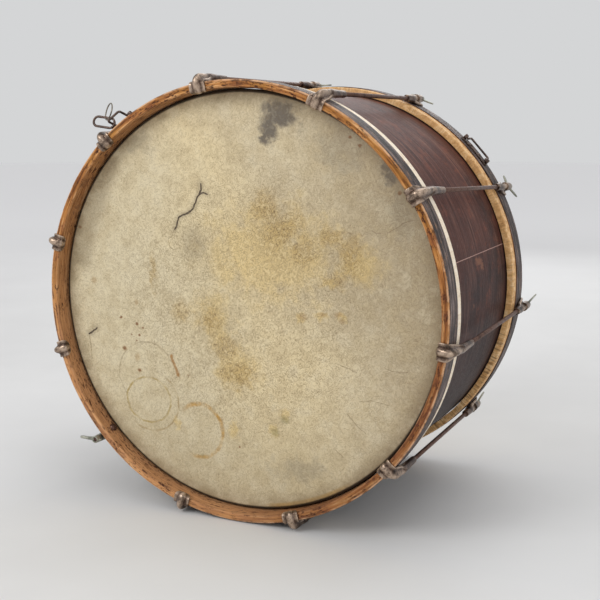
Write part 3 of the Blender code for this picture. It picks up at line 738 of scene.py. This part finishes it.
def place(node, mesh, finish, slot, body="drum", matrix=None, sharp=40):
    """Stands a fine piece in for a CAD node, with its place in its mesh."""
    mesh = mesh.copy()
    mesh.name = node + "_fine"
    mesh.transform(Matrix.Translation(CENTRE) @ (matrix or Matrix()))
    mesh.materials.clear()
    mesh.materials.append(FINISH[finish])
    mesh.shade_smooth()
    mesh.set_sharp_from_angle(angle=math.radians(sharp))
    obj = in_scene(node + "_fine", mesh)
    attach(obj, body)
    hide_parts(node)
    return obj


def radial(degrees):
    return Vector((math.cos(math.radians(degrees)), 0, math.sin(math.radians(degrees))))


def end_matrix(point, along, degrees):
    """A frame at point: x outward from the drum's axis, y along, z round the drum."""
    y_axis = along.normalized()
    outward = radial(degrees)
    x_axis = (outward - y_axis * outward.dot(y_axis)).normalized()
    turn = Matrix((x_axis, y_axis, x_axis.cross(y_axis))).transposed()
    return Matrix.Translation(point) @ turn.to_4x4()


def rod_ends(degrees, skew):
    front = radial(degrees) * ROD_CIRCLE + Vector((0, -EDGE, 0))
    rear = radial(degrees + skew) * ROD_CIRCLE + Vector((0, EDGE, 0))
    return front, rear, (rear - front).normalized()


def arc(centre, radius, first, last, count):
    found = []
    for i in range(count):
        turn = math.radians(first + (last - first) * i / (count - 1))
        found.append((centre[0] + radius * math.cos(turn), centre[1] + radius * math.sin(turn)))
    return found


def rounded(corners, steps=4):
    """An outline with each corner (radius, y, rounding) turned into an arc of steps."""
    found = []
    count = len(corners)
    for i, (r, h, soft) in enumerate(corners):
        here = Vector((r, h))
        if soft == 0:
            found.append((r, h))
            continue
        back = (Vector(corners[i - 1][:2]) - here).normalized() * soft
        ahead = (Vector(corners[(i + 1) % count][:2]) - here).normalized() * soft
        for k in range(steps + 1):
            t = k / steps
            point = (here + back) * (1 - t) ** 2 + here * 2 * t * (1 - t) + (here + ahead) * t ** 2
            found.append((point.x, point.y))
    return found


def make_shell():
    outer, inner = SHELL_RADIUS, SHELL_RADIUS - SHELL_WALL
    half = SHELL_DEPTH / 2
    outline = [(inner + 0.0012, half), (inner + 0.0030, half - 0.0005),
               (inner + 0.0045, half - 0.0014), (outer - 0.0008, half - 0.0034),
               (outer, half - 0.0057)]
    steps = [0.160, 0.135, 0.11, 0.085, 0.060, 0.035, 0.014]
    outline += [(outer, s) for s in steps] + [(outer, -s) for s in reversed(steps)]
    outline += [(r, -h) for r, h in reversed(outline[:5])]
    outline += [(inner, -half + 0.0006), (inner, -0.014), (inner, 0.014), (inner, half - 0.0006)]
    mesh = Shape().add(turned(outline, 288)).mesh("shell")
    drill = Shape().add(turned([(0, -0.02), (VENT_RADIUS, -0.02), (VENT_RADIUS, 0.02), (0, 0.02)],
                               32, closed=False)).mesh("drill")
    drill.transform(Matrix.Translation((-SHELL_RADIUS, 0, 0)) @ spin(90, "Z"))
    place("shell", cut(mesh, drill), "shell", "shell_wood", sharp=30)


def make_head(end):
    """The skin: a little slack across, rounded over the shell's edge, down outside it."""
    sign = -1 if end == "front" else 1
    top = EDGE - HEAD_RECESS
    inside = SHELL_RADIUS + GAP
    collar = EDGE - HOOP_WIDTH - 0.016
    flat = [(r, top) for r in [0.0] + [0.02 * i for i in range(1, 15)] + [0.29, 0.296]]
    bend = [(-0.0060, 0.0), (-0.0042, 0.0003), (-0.0026, 0.0010), (-0.0012, 0.0022),
            (-0.0004, 0.0038), (0.0, 0.0060)]
    outer = [(inside + SKIN + across, top - down) for across, down in bend]
    inner = [(inside + across, top - SKIN - down) for across, down in bend]
    outline = flat + outer + [(inside + SKIN, collar), (inside, collar)]
    outline += list(reversed(inner)) + [(r, h - SKIN) for r, h in reversed(flat)]

    def slack(turn, radius, height):
        if radius > 0.298:
            return radius, height
        spot = Vector((radius * math.cos(turn), radius * math.sin(turn), 0.3 * sign))
        fade = min(1, (0.298 - radius) / 0.03)
        return radius, height + fade * 0.0005 * noise.noise(spot * 16)

    points, faces = turned(outline, 240, closed=False, change=slack)
    mesh = Shape().add((points, faces), Matrix.Diagonal((1, sign, 1, 1))).mesh(end + "_head")
    place(end + "_head", mesh, end + "_skin", "head_skin", sharp=60)


def make_flesh_hoop(end):
    """The lapped ring: a soft band with a shallow groove where the skin is tucked."""
    sign = -1 if end == "front" else 1
    top = EDGE - HOOP_WIDTH - GAP
    bottom = top - FLESH_WIDTH
    soft = 0.0022
    outline = rounded([(FLESH_OUTER, top, soft), (FLESH_OUTER, bottom, soft),
                       (FLESH_INNER, bottom, 0.0006), (FLESH_INNER, top, 0.0006)], 5)
    groove = (top + bottom) / 2
    across = [(FLESH_OUTER, top - 0.0035), (FLESH_OUTER - 0.0001, groove + 0.0022),
              (FLESH_OUTER - 0.0006, groove + 0.0006), (FLESH_OUTER - 0.0006, groove - 0.0002),
              (FLESH_OUTER - 0.0001, groove - 0.0020), (FLESH_OUTER, bottom + 0.0035)]
    outline = outline[:6] + across + outline[6:]

    def pleats(turn, radius, height):
        if radius < FLESH_INNER + 0.002:
            return radius, height
        spot = Vector((math.cos(turn) * 60, math.sin(turn) * 60, 2.0 + sign))
        deep = 0.00030 if end == "rear" else 0.00012
        return radius - deep * (0.5 + 0.5 * noise.noise(spot)), height

    points, faces = turned(outline, 720, change=pleats)
    mesh = Shape().add((points, faces), Matrix.Diagonal((1, sign, 1, 1))).mesh(end)
    place(end + "_flesh_hoop", mesh, end + "_lap", "lapped_hoop", sharp=60)


def make_counterhoop(end):
    """The wooden hoop, its edges rounded and a little uneven where worn."""
    sign = -1 if end == "front" else 1
    low = EDGE - HOOP_WIDTH
    outline = rounded([(HOOP_OUTER, EDGE, 0.0030), (HOOP_OUTER, low, 0.0012),
                       (HOOP_INNER, low, 0.0012), (HOOP_INNER, EDGE, 0.0020)], 5)

    def worn(turn, radius, height):
        spot = Vector((math.cos(turn) * 22, math.sin(turn) * 22, 5.0 * sign))
        edge = max(0.0, 1 - (EDGE - height) / 0.006)
        rub = 0.0004 * edge * (0.5 + 0.5 * noise.noise(spot))
        return (radius - rub if radius > 0.313 else radius), height - rub * 0.6

    points, faces = turned(outline, 480, change=worn)
    mesh = Shape().add((points, faces), Matrix.Diagonal((1, sign, 1, 1))).mesh(end)
    place(end + "_counterhoop", mesh, "hoop", "hoop_wood", sharp=50)


def claw_section(x, y, lean, half, edge, hump, hump_half):
    """Sixteen points across a claw: raised rims, a valley on each side and a hump between."""
    rim, soft = edge + 0.0010, 0.0006
    inset = half * 0.20
    top = [(half - soft, rim), (half - inset, rim - 0.0002), (hump_half, edge),
           (hump_half * 0.60, edge + (hump - edge) * 0.94)]
    right = [(half, soft), (half, rim - soft)]
    across = [(-half + soft, 0), (-half / 3, 0), (half / 3, 0), (half - soft, 0)] + right + top
    across += [(-z, height) for z, height in reversed(top)]
    across += [(-z, height) for z, height in reversed(right)]
    up = (math.cos(math.radians(lean)), -math.sin(math.radians(lean)))
    return [(x + up[0] * height, y + up[1] * height, z) for z, height in across]


def sleeve_section(y, radius):
    turns = [math.radians(-123.75 + 22.5 * i) for i in range(16)]
    return [(radius * math.sin(turn), y, radius * math.cos(turn)) for turn in turns]


def claw_mesh(name, sleeve):
    """A cast claw: it hooks the hoop's inner face, crosses its edge and runs into a sleeve."""
    inner = CLAW_INNER_FACE
    outer = HOOP_OUTER - ROD_CIRCLE + GAP
    lip, wide = -GAP, CLAW_HALF_WIDTH
    rows = [claw_section(*row) for row in [
        (inner, 0.0086, 180, wide * 0.30, 0.0006, 0.0014, 0.0022),
        (inner, 0.0078, 180, wide * 0.48, 0.0012, 0.0024, 0.0034),
        (inner, 0.0045, 176, wide * 0.80, 0.0016, 0.0035, 0.0046),
        (inner, 0.0014, 170, wide * 0.96, 0.0019, 0.0046, 0.0054),
        (inner + 0.0012, lip, 122, wide * 1.01, 0.0022, 0.0057, 0.0059),
        (inner + 0.0055, lip, 98, wide * 1.02, 0.0021, 0.0062, 0.0060),
        (outer - 0.0045, lip, 86, wide * 1.01, 0.0022, 0.0072, 0.0061),
        (outer - 0.0008, lip, 50, wide * 0.99, 0.0026, 0.0108, 0.0062),
        (outer, 0.0050, 8, wide * 0.95, 0.0024, 0.0142, 0.0061),
        (outer, 0.0150, 2, wide * 0.80, 0.0036, 0.0141, 0.0058),
        (outer, 0.0265, 0, wide * 0.60, 0.0050, 0.0136, 0.0056),
    ]]
    shape = Shape()
    rows += [sleeve_section(y, radius) for y, radius in sleeve]
    shape.add(loft(rows))
    # How pale each rim point is made: worn metal and a painted highlight together.
    rubbed_and_highlit = {4: 0.3, 5: 1.0, 6: 1.0, 7: 0.6, 9: 0.9, 10: 0.9, 12: 0.6, 13: 1.0, 14: 1.0, 15: 0.3}
    for row in range(len(rows)):
        for spot, amount in rubbed_and_highlit.items():
            if row < 11:
                shape.wear[row * 16 + spot] = amount
            elif spot in (9, 10):
                shape.wear[row * 16 + spot] = 0.5
    return subdivided(shape.mesh(name), 2)


def front_claw_mesh():
    end = FRONT_SLEEVE_END
    sleeve = ((0.034, 0.0069), (0.041, 0.0063), (0.060, 0.0057), (end - 0.0030, 0.0051),
              (end - 0.0016, 0.0052), (end - 0.0004, 0.0049), (end, 0.0043))
    return claw_mesh("front_claw", sleeve)


def rear_claw_mesh():
    end = REAR_TUBE_END
    sleeve = ((0.033, 0.0068), (0.040, 0.0062), (0.050, 0.0059), (end - 0.0028, 0.0057),
              (end - 0.0014, 0.0058), (end - 0.0004, 0.0055), (end, 0.0048))
    mesh = claw_mesh("rear_claw", sleeve)
    boss = rounded([(0.0068, -REAR_BOSS, 0.0010), (0.0072, 0.012, 0), (BORE_RADIUS, 0.012, 0),
                    (BORE_RADIUS, -REAR_BOSS, 0.0004)], 3)
    shape = Shape().add(turned(boss, 32), wear=0.4)
    shape.add(([v.co for v in mesh.vertices], [face.vertices for face in mesh.polygons]))
    shape.wear[-len(mesh.vertices):] = [item.value for item in mesh.attributes["wear"].data]
    return shape.mesh("rear_claw")


def wing(outline, thickness):
    """A wing from its outline in local XY, thinner towards its tip, with rounded edges."""
    shape = bmesh.new()
    face = shape.faces.new([shape.verts.new((x, y, -thickness / 2)) for x, y in outline])
    grown = bmesh.ops.extrude_face_region(shape, geom=[face])
    for item in grown["geom"]:
        if isinstance(item, bmesh.types.BMVert):
            item.co.z += thickness
    bmesh.ops.recalc_face_normals(shape, faces=shape.faces)
    bmesh.ops.bevel(shape, geom=list(shape.edges), offset=0.0008, segments=3, profile=0.5,
                    affect="EDGES")
    for vert in shape.verts:
        vert.co.z *= 1.12 - 18 * min(abs(vert.co.x), 0.020)
    shape.verts.ensure_lookup_table()
    points = [v.co.copy() for v in shape.verts]
    faces = [tuple(v.index for v in f.verts) for f in shape.faces]
    shape.free()
    return points, faces


def smooth_outline(points, steps=3):
    """A closed outline through the points, rounded by a spline."""
    found = []
    count = len(points)
    for i in range(count):
        p0, p1, p2, p3 = (Vector(points[(i + k) % count]) for k in (-1, 0, 1, 2))
        for k in range(steps):
            t = k / steps
            twice = (2 * p1 + (p2 - p0) * t + (2 * p0 - 5 * p1 + 4 * p2 - p3) * t ** 2
                     + (3 * p1 - p0 - 3 * p2 + p3) * t ** 3)
            found.append(tuple(0.5 * twice))
    return found


def wing_nut_mesh():
    hub = rounded([(0.0064, 0, 0.0006), (0.0052, NUT_LENGTH, 0.0010),
                   (BORE_RADIUS, NUT_LENGTH, 0.0003), (BORE_RADIUS, 0, 0.0003)], 3)
    leaf = [(0.0030, 0.0020), (0.0085, 0.0030), (0.0140, 0.0064), (0.0190, 0.0106),
            (0.0210, 0.0140), (0.0188, 0.0158), (0.0130, 0.0130), (0.0080, 0.0086),
            (0.0030, 0.0080)]
    shape = Shape().add(turned(hub, 32), wear=0.3)
    for side in (1, -1):
        outline = smooth_outline([(side * x, y) for x, y in leaf])
        shape.add(wing(outline, 0.0030), wear=0.6)
    return shape.mesh("wing_nut")


def odd_wing_nut_mesh():
    length = ODD_NUT_LENGTH
    hub = rounded([(0.0062, 0, 0.0008), (0.0059, length * 0.5, 0), (0.0054, length, 0.0010),
                   (BORE_RADIUS, length, 0.0003), (BORE_RADIUS, 0, 0.0003)], 3)
    blade = [(0.0030, -0.0092), (0.0090, -0.0076), (0.0150, -0.0052), (0.0230, -0.0044),
             (0.0262, -0.0028), (0.0268, -0.0006), (0.0240, 0.0012), (0.0150, 0.0006),
             (0.0090, -0.0004), (0.0030, -0.0008)]
    stump = [(0.0030, -0.0092), (0.0078, -0.0080), (0.0092, -0.0058), (0.0076, -0.0030),
             (0.0030, -0.0008)]
    shape = Shape().add(turned(hub, 32), wear=0.3)
    shape.add(wing(smooth_outline([(x, length + y) for x, y in blade]), 0.0044), wear=0.6)
    shape.add(wing([(-x, length + y) for x, y in stump], 0.0030), wear=0.3)
    return shape.mesh("odd_wing_nut")


def rod_mesh(start, end, head=0.0):
    """A round rod on local Y with a cut thread at its far end."""
    radius = ROD_RADIUS
    outline = [(0, start), (radius - 0.0006, start), (radius, start + 0.0006)]
    thread_start = end - 0.030
    outline.append((radius, thread_start))
    pitch = 0.0012
    for i in range(int((end - thread_start - 0.0010) / pitch)):
        at = thread_start + i * pitch
        outline += [(radius - 0.00045, at + pitch * 0.35), (radius, at + pitch * 0.85)]
    outline += [(radius - 0.0006, end), (0, end)]
    shape = Shape().add(turned(outline, 24, closed=False))
    if head:
        dome = [(0, end - 0.0005), (head, end - 0.0005), (head, end + 0.0008),
                (head * 0.86, end + 0.0022), (head * 0.60, end + 0.0032), (0, end + 0.0036)]
        shape.add(turned(dome, 32, closed=False), wear=0.5)
    return shape.mesh("rod")


def make_rods():
    front_claw, rear_claw, wing_nut = front_claw_mesh(), rear_claw_mesh(), wing_nut_mesh()
    rod = rod_mesh(SOCKET_BOTTOM + 0.001, LENGTH + REAR_BOSS + 0.0135)
    half_turn = spin(180, "X")
    for index, (degrees, skew) in enumerate(zip(ROD_ANGLES, ROD_SKEWS), start=1):
        front, rear, along = rod_ends(degrees, skew)
        stand_off = CLAW_HALF_WIDTH * abs(math.sin(along.angle(Vector((0, 1, 0)))))
        front_frame = end_matrix(front - along * stand_off, along, degrees)
        rear_frame = end_matrix(rear + along * stand_off, along, degrees + skew)
        tag = f"_{index:02d}"
        place("front_claw" + tag, front_claw, "claw", "claw_iron", matrix=front_frame)
        place("rear_claw" + tag, rear_claw, "claw", "claw_iron", matrix=rear_frame @ half_turn)
        place("tension_rod" + tag, rod, "rod", "rod_steel", matrix=front_frame, sharp=60)
        seat = Matrix.Translation((0, REAR_BOSS + GAP, 0))
        place("wing_nut" + tag, wing_nut, "nut", "wing_nut_metal", "wing_nut" + tag,
              rear_frame @ seat @ spin(-WING_TURNS[index - 1], "Y"))

    front, rear, along = rod_ends(ODD_ROD_ANGLE, 0)
    front_frame = end_matrix(front, along, ODD_ROD_ANGLE)
    rear_frame = end_matrix(rear, along, ODD_ROD_ANGLE)
    place("rear_claw_11", rear_claw, "claw", "claw_iron", matrix=rear_frame @ half_turn)
    eye_y = HOOP_WIDTH / 2
    lay = spin(-90, "Z")
    stem_end = HOOP_INNER - ROD_CIRCLE - 0.0050
    stem = rounded([(0, stem_end, 0), (0.0030, stem_end, 0.0006), (0.0030, -0.0050, 0),
                    (0, -0.0050, 0)], 3)
    stand = Matrix.Translation((0, eye_y, 0))
    bolt = Shape().add(wire(arc((0, 0), 0.0055, 0, 352.5, 48), 0.0018, cyclic=True), stand)
    bolt.add(turned(stem, 24, closed=False), stand @ lay)
    place("eye_bolt", bolt.mesh("eye_bolt"), "rod", "rod_steel", matrix=front_frame)
    tall = 0.0034
    dome = rounded([(0.0046, 0, 0.0010), (0.0062, tall, 0.0004), (0.0034, tall, 0),
                    (0.0034, 0, 0)], 4)
    nut = Shape().add(turned(dome, 32), wear=0.4).mesh("eye_bolt_nut")
    seat = Matrix.Translation((CLAW_INNER_FACE - tall, eye_y, 0))
    place("eye_bolt_nut", nut, "rod", "rod_steel", matrix=front_frame @ seat @ lay)
    nut_seat = eye_y - 0.0030 - GAP
    rod = rod_mesh(nut_seat - ODD_NUT_LENGTH + 0.0020, LENGTH + REAR_BOSS + GAP + 0.0008, 0.0056)
    place("tension_rod_11", rod, "rod", "rod_steel", matrix=front_frame, sharp=60)
    seat = Matrix.Translation((0, nut_seat, 0)) @ half_turn
    place("wing_nut_11", odd_wing_nut_mesh(), "nut", "wing_nut_metal", "wing_nut_11",
          front_frame @ seat @ spin(ODD_WING_TURN, "Y"))


def plate_mesh(length):
    """A plate bent to the hoop, its ends rolled into knuckles, held by two slotted screws."""
    rows = []
    half = PLATE_THICKNESS / 2
    for z, width in [(-1.0, 0.62), (-0.97, 0.84), (-0.90, 0.97), (-0.80, 1.0), (-0.5, 1.0),
                     (-0.25, 1.0), (0, 1.0), (0.25, 1.0), (0.5, 1.0), (0.80, 1.0), (0.90, 0.97),
                     (0.97, 0.84), (1.0, 0.62)]:
        z *= length / 2
        wide = PLATE_WIDTH / 2 * width
        lift = GAP + 0.0006 + half - z * z / (2 * HOOP_OUTER)
        rim = [(-half, -wide + 0.0004), (-half, wide - 0.0004), (-half + 0.0004, wide),
               (half - 0.0006, wide), (half, wide - 0.0006), (half, -wide + 0.0006),
               (half - 0.0006, -wide), (-half + 0.0004, -wide)]
        rows.append([(x + lift, y, z) for x, y in rim])
    shape = Shape().add(loft(rows), wear=0.2)
    for side in (1, -1):
        reach = KNUCKLE_LENGTH / 2
        stand = Matrix.Translation((HINGE_HEIGHT, 0, side * (length / 2 - 0.0008 - reach)))
        tube = rounded([(0.0040, -reach, 0.0005), (0.0040, reach, 0.0005),
                        (0.0022, reach, 0.0003), (0.0022, -reach, 0.0003)], 3)
        shape.add(turned(tube, 28), stand @ spin(90, "X"), wear=0.5)
        screw = Matrix.Translation((GAP + 0.0006 + PLATE_THICKNESS, 0, side * length * 0.17))
        screw = screw @ spin(-90 + 25 * side, "X") @ spin(-90, "Z")
        head = [(0.0036, -0.0006), (0.0036, 0.0002), (0.0030, 0.0008), (0.0018, 0.0012),
                (0.0006, 0.0013), (0, 0.0013)]
        points, faces = turned(head, 40, closed=False)
        slot = [(x, y - 0.0007 if abs(z) < 0.00045 and y > 0 else y, z) for x, y, z in points]
        shape.add((slot, faces), screw, wear=0.6)
    return shape.mesh("plate")


def make_bail(end, degrees, length, lean):
    """A carrying bail and its plate on one hoop; lean turns it from outright to the rear."""
    y = (-EDGE + HOOP_WIDTH / 2) if end == "front" else (EDGE - HOOP_WIDTH / 2)
    spot = radial(degrees) * HOOP_OUTER + Vector((0, y, 0))
    stand = end_matrix(spot, Vector((0, 1, 0)), degrees)
    place(end + "_bail_plate", plate_mesh(length), "wire", "bail_wire", matrix=stand)
    hinge = Matrix.Translation((HINGE_HEIGHT, 0, 0)) @ spin(lean, "Z")
    leg = length / 2 - BAIL_LEG_INSET
    pin = length / 2 - 0.0012
    bend = 0.0035
    side = [(0, pin), (0, leg + bend * 0.45), (bend * 0.08, leg + bend * 0.22),
            (bend * 0.3, leg + bend * 0.05), (bend * 0.55, leg), (0.008, leg),
            (BAIL_REACH - bend, leg)]
    side += arc((BAIL_REACH - bend, leg - bend), bend, 80, 0, 8)
    side += [(BAIL_REACH, (leg - bend) * 0.5)]
    path = side + [(BAIL_REACH, 0)] + [(x, -z) for x, z in reversed(side)]
    bail = Shape().add(wire(path, BAIL_WIRE, rough=0.12)).mesh("bail")
    place(end + "_bail", bail, "wire", "bail_wire", end + "_bail", stand @ hinge, sharp=60)
    return stand @ hinge


def make_link_and_ring(bail):
    straight = (LINK_LENGTH - LINK_WIDTH) / 2
    bend = LINK_WIDTH / 2 - LINK_WIRE
    path = arc((straight, 0), bend, -90, 90, 16) + arc((-straight, 0), bend, 90, 270, 16)
    link = Shape().add(wire(path, LINK_WIRE, cyclic=True, rough=0.15)).mesh("link")
    grip = bail @ Vector((LINK_GRIP, 0, FRONT_BAIL[2] / 2 - BAIL_LEG_INSET))
    inside = LINK_LENGTH / 2 - LINK_WIRE - LINK_WIRE - BAIL_WIRE - LINK_PLAY
    tilt = Euler((math.radians(-15), math.radians(7), 0)).to_matrix().to_4x4()
    stand = Matrix.Translation(grip) @ tilt @ Matrix.Translation((-inside, 0, 0))
    place("sling_link", link, "wire", "bail_wire", "sling_link", stand, sharp=60)
    circle = arc((0, 0), RING_RADIUS, 0, 355, 72)
    ring = Shape().add(wire(circle, RING_WIRE, cyclic=True, rough=0.08)).mesh("ring")
    lift = Matrix.Translation((0.004, 0, bend - LINK_WIRE - RING_WIRE - GAP + RING_RADIUS))
    stand = stand @ lift @ spin(-38, "Z")
    place("wire_ring", ring, "ring", "ring_wire", "wire_ring", stand, sharp=60)


FLOOR_RADIUS = 14.0
# Each lamp is (name, place, size across, power in watts).
LAMPS = [
    ("key", (-1.5, -2.5, 2.2), 1.8, 40), ("fill", (2.4, -1.6, 1.3), 1.6, 9),
    ("top", (0.4, 0.5, 2.6), 1.8, 14), ("back", (-0.6, 2.6, 1.6), 1.8, 12),
]
# The camera fitted to the photograph: place, turn in degrees, lens and sensor in millimetres.
CAMERA_SPOT = (0.7019, -1.5146, 0.5799)
CAMERA_TURN = (80.434, 0, 24.80)
FOCAL_LENGTH = 63.505
SENSOR_WIDTH = 36


def make_stage():
    """A wide pale floor, soft lamps and a pale world."""
    points, faces = turned([(0, 0), (FLOOR_RADIUS, 0)], 96, closed=False)
    mesh = bpy.data.meshes.new("floor")
    mesh.from_pydata([(x, z, 0) for x, _, z in points], [], faces)
    mesh.materials.append(floor_finish())
    floor = in_scene("floor", mesh)
    for name, spot, size, power in LAMPS:
        lamp = bpy.data.lights.new(name, "AREA")
        lamp.shape, lamp.size, lamp.energy = "DISK", size, power
        obj = in_scene(name, lamp)
        obj.location = spot
        obj.rotation_euler = (CENTRE - Vector(spot)).to_track_quat("-Z", "Y").to_euler()
    world = bpy.data.worlds.new("pale")
    bpy.context.scene.world = world
    world.use_nodes = True
    world.node_tree.nodes.clear()
    made = Nodes(world.node_tree)
    path = made.node("ShaderNodeLightPath").outputs
    seen = made.math("MAXIMUM", path["Is Camera Ray"], path["Is Glossy Ray"])
    seen = made.math("MAXIMUM", seen, path["Is Transmission Ray"])
    soft = made.node("ShaderNodeBackground", (shade(250, 250, 252), 0.70)).outputs[0]
    pale = made.node("ShaderNodeBackground", (shade(212, 213, 214), 1.0)).outputs[0]
    join = made.node("ShaderNodeMixShader", (seen, soft, pale)).outputs[0]
    made.node("ShaderNodeOutputWorld", (join,))


def make_camera():
    lens = bpy.data.cameras.new("photo_camera")
    lens.sensor_width, lens.lens = SENSOR_WIDTH, FOCAL_LENGTH
    obj = in_scene("photo_camera", lens)
    obj.location = CAMERA_SPOT
    obj.rotation_euler = [math.radians(turn) for turn in CAMERA_TURN]
    bpy.context.scene.camera = obj


make_shell()
for side_name in ("front", "rear"):
    make_head(side_name)
    make_flesh_hoop(side_name)
    make_counterhoop(side_name)
    ring_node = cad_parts[side_name + "_glue_ring"]
    ring_node.data.materials.clear()
    ring_node.data.materials.append(FINISH["bare"])
make_rods()
hanging = make_bail(*FRONT_BAIL)
make_bail(*REAR_BAIL)
make_link_and_ring(hanging)
make_stage()
make_camera()
bpy.context.scene.view_settings.view_transform = "Standard"
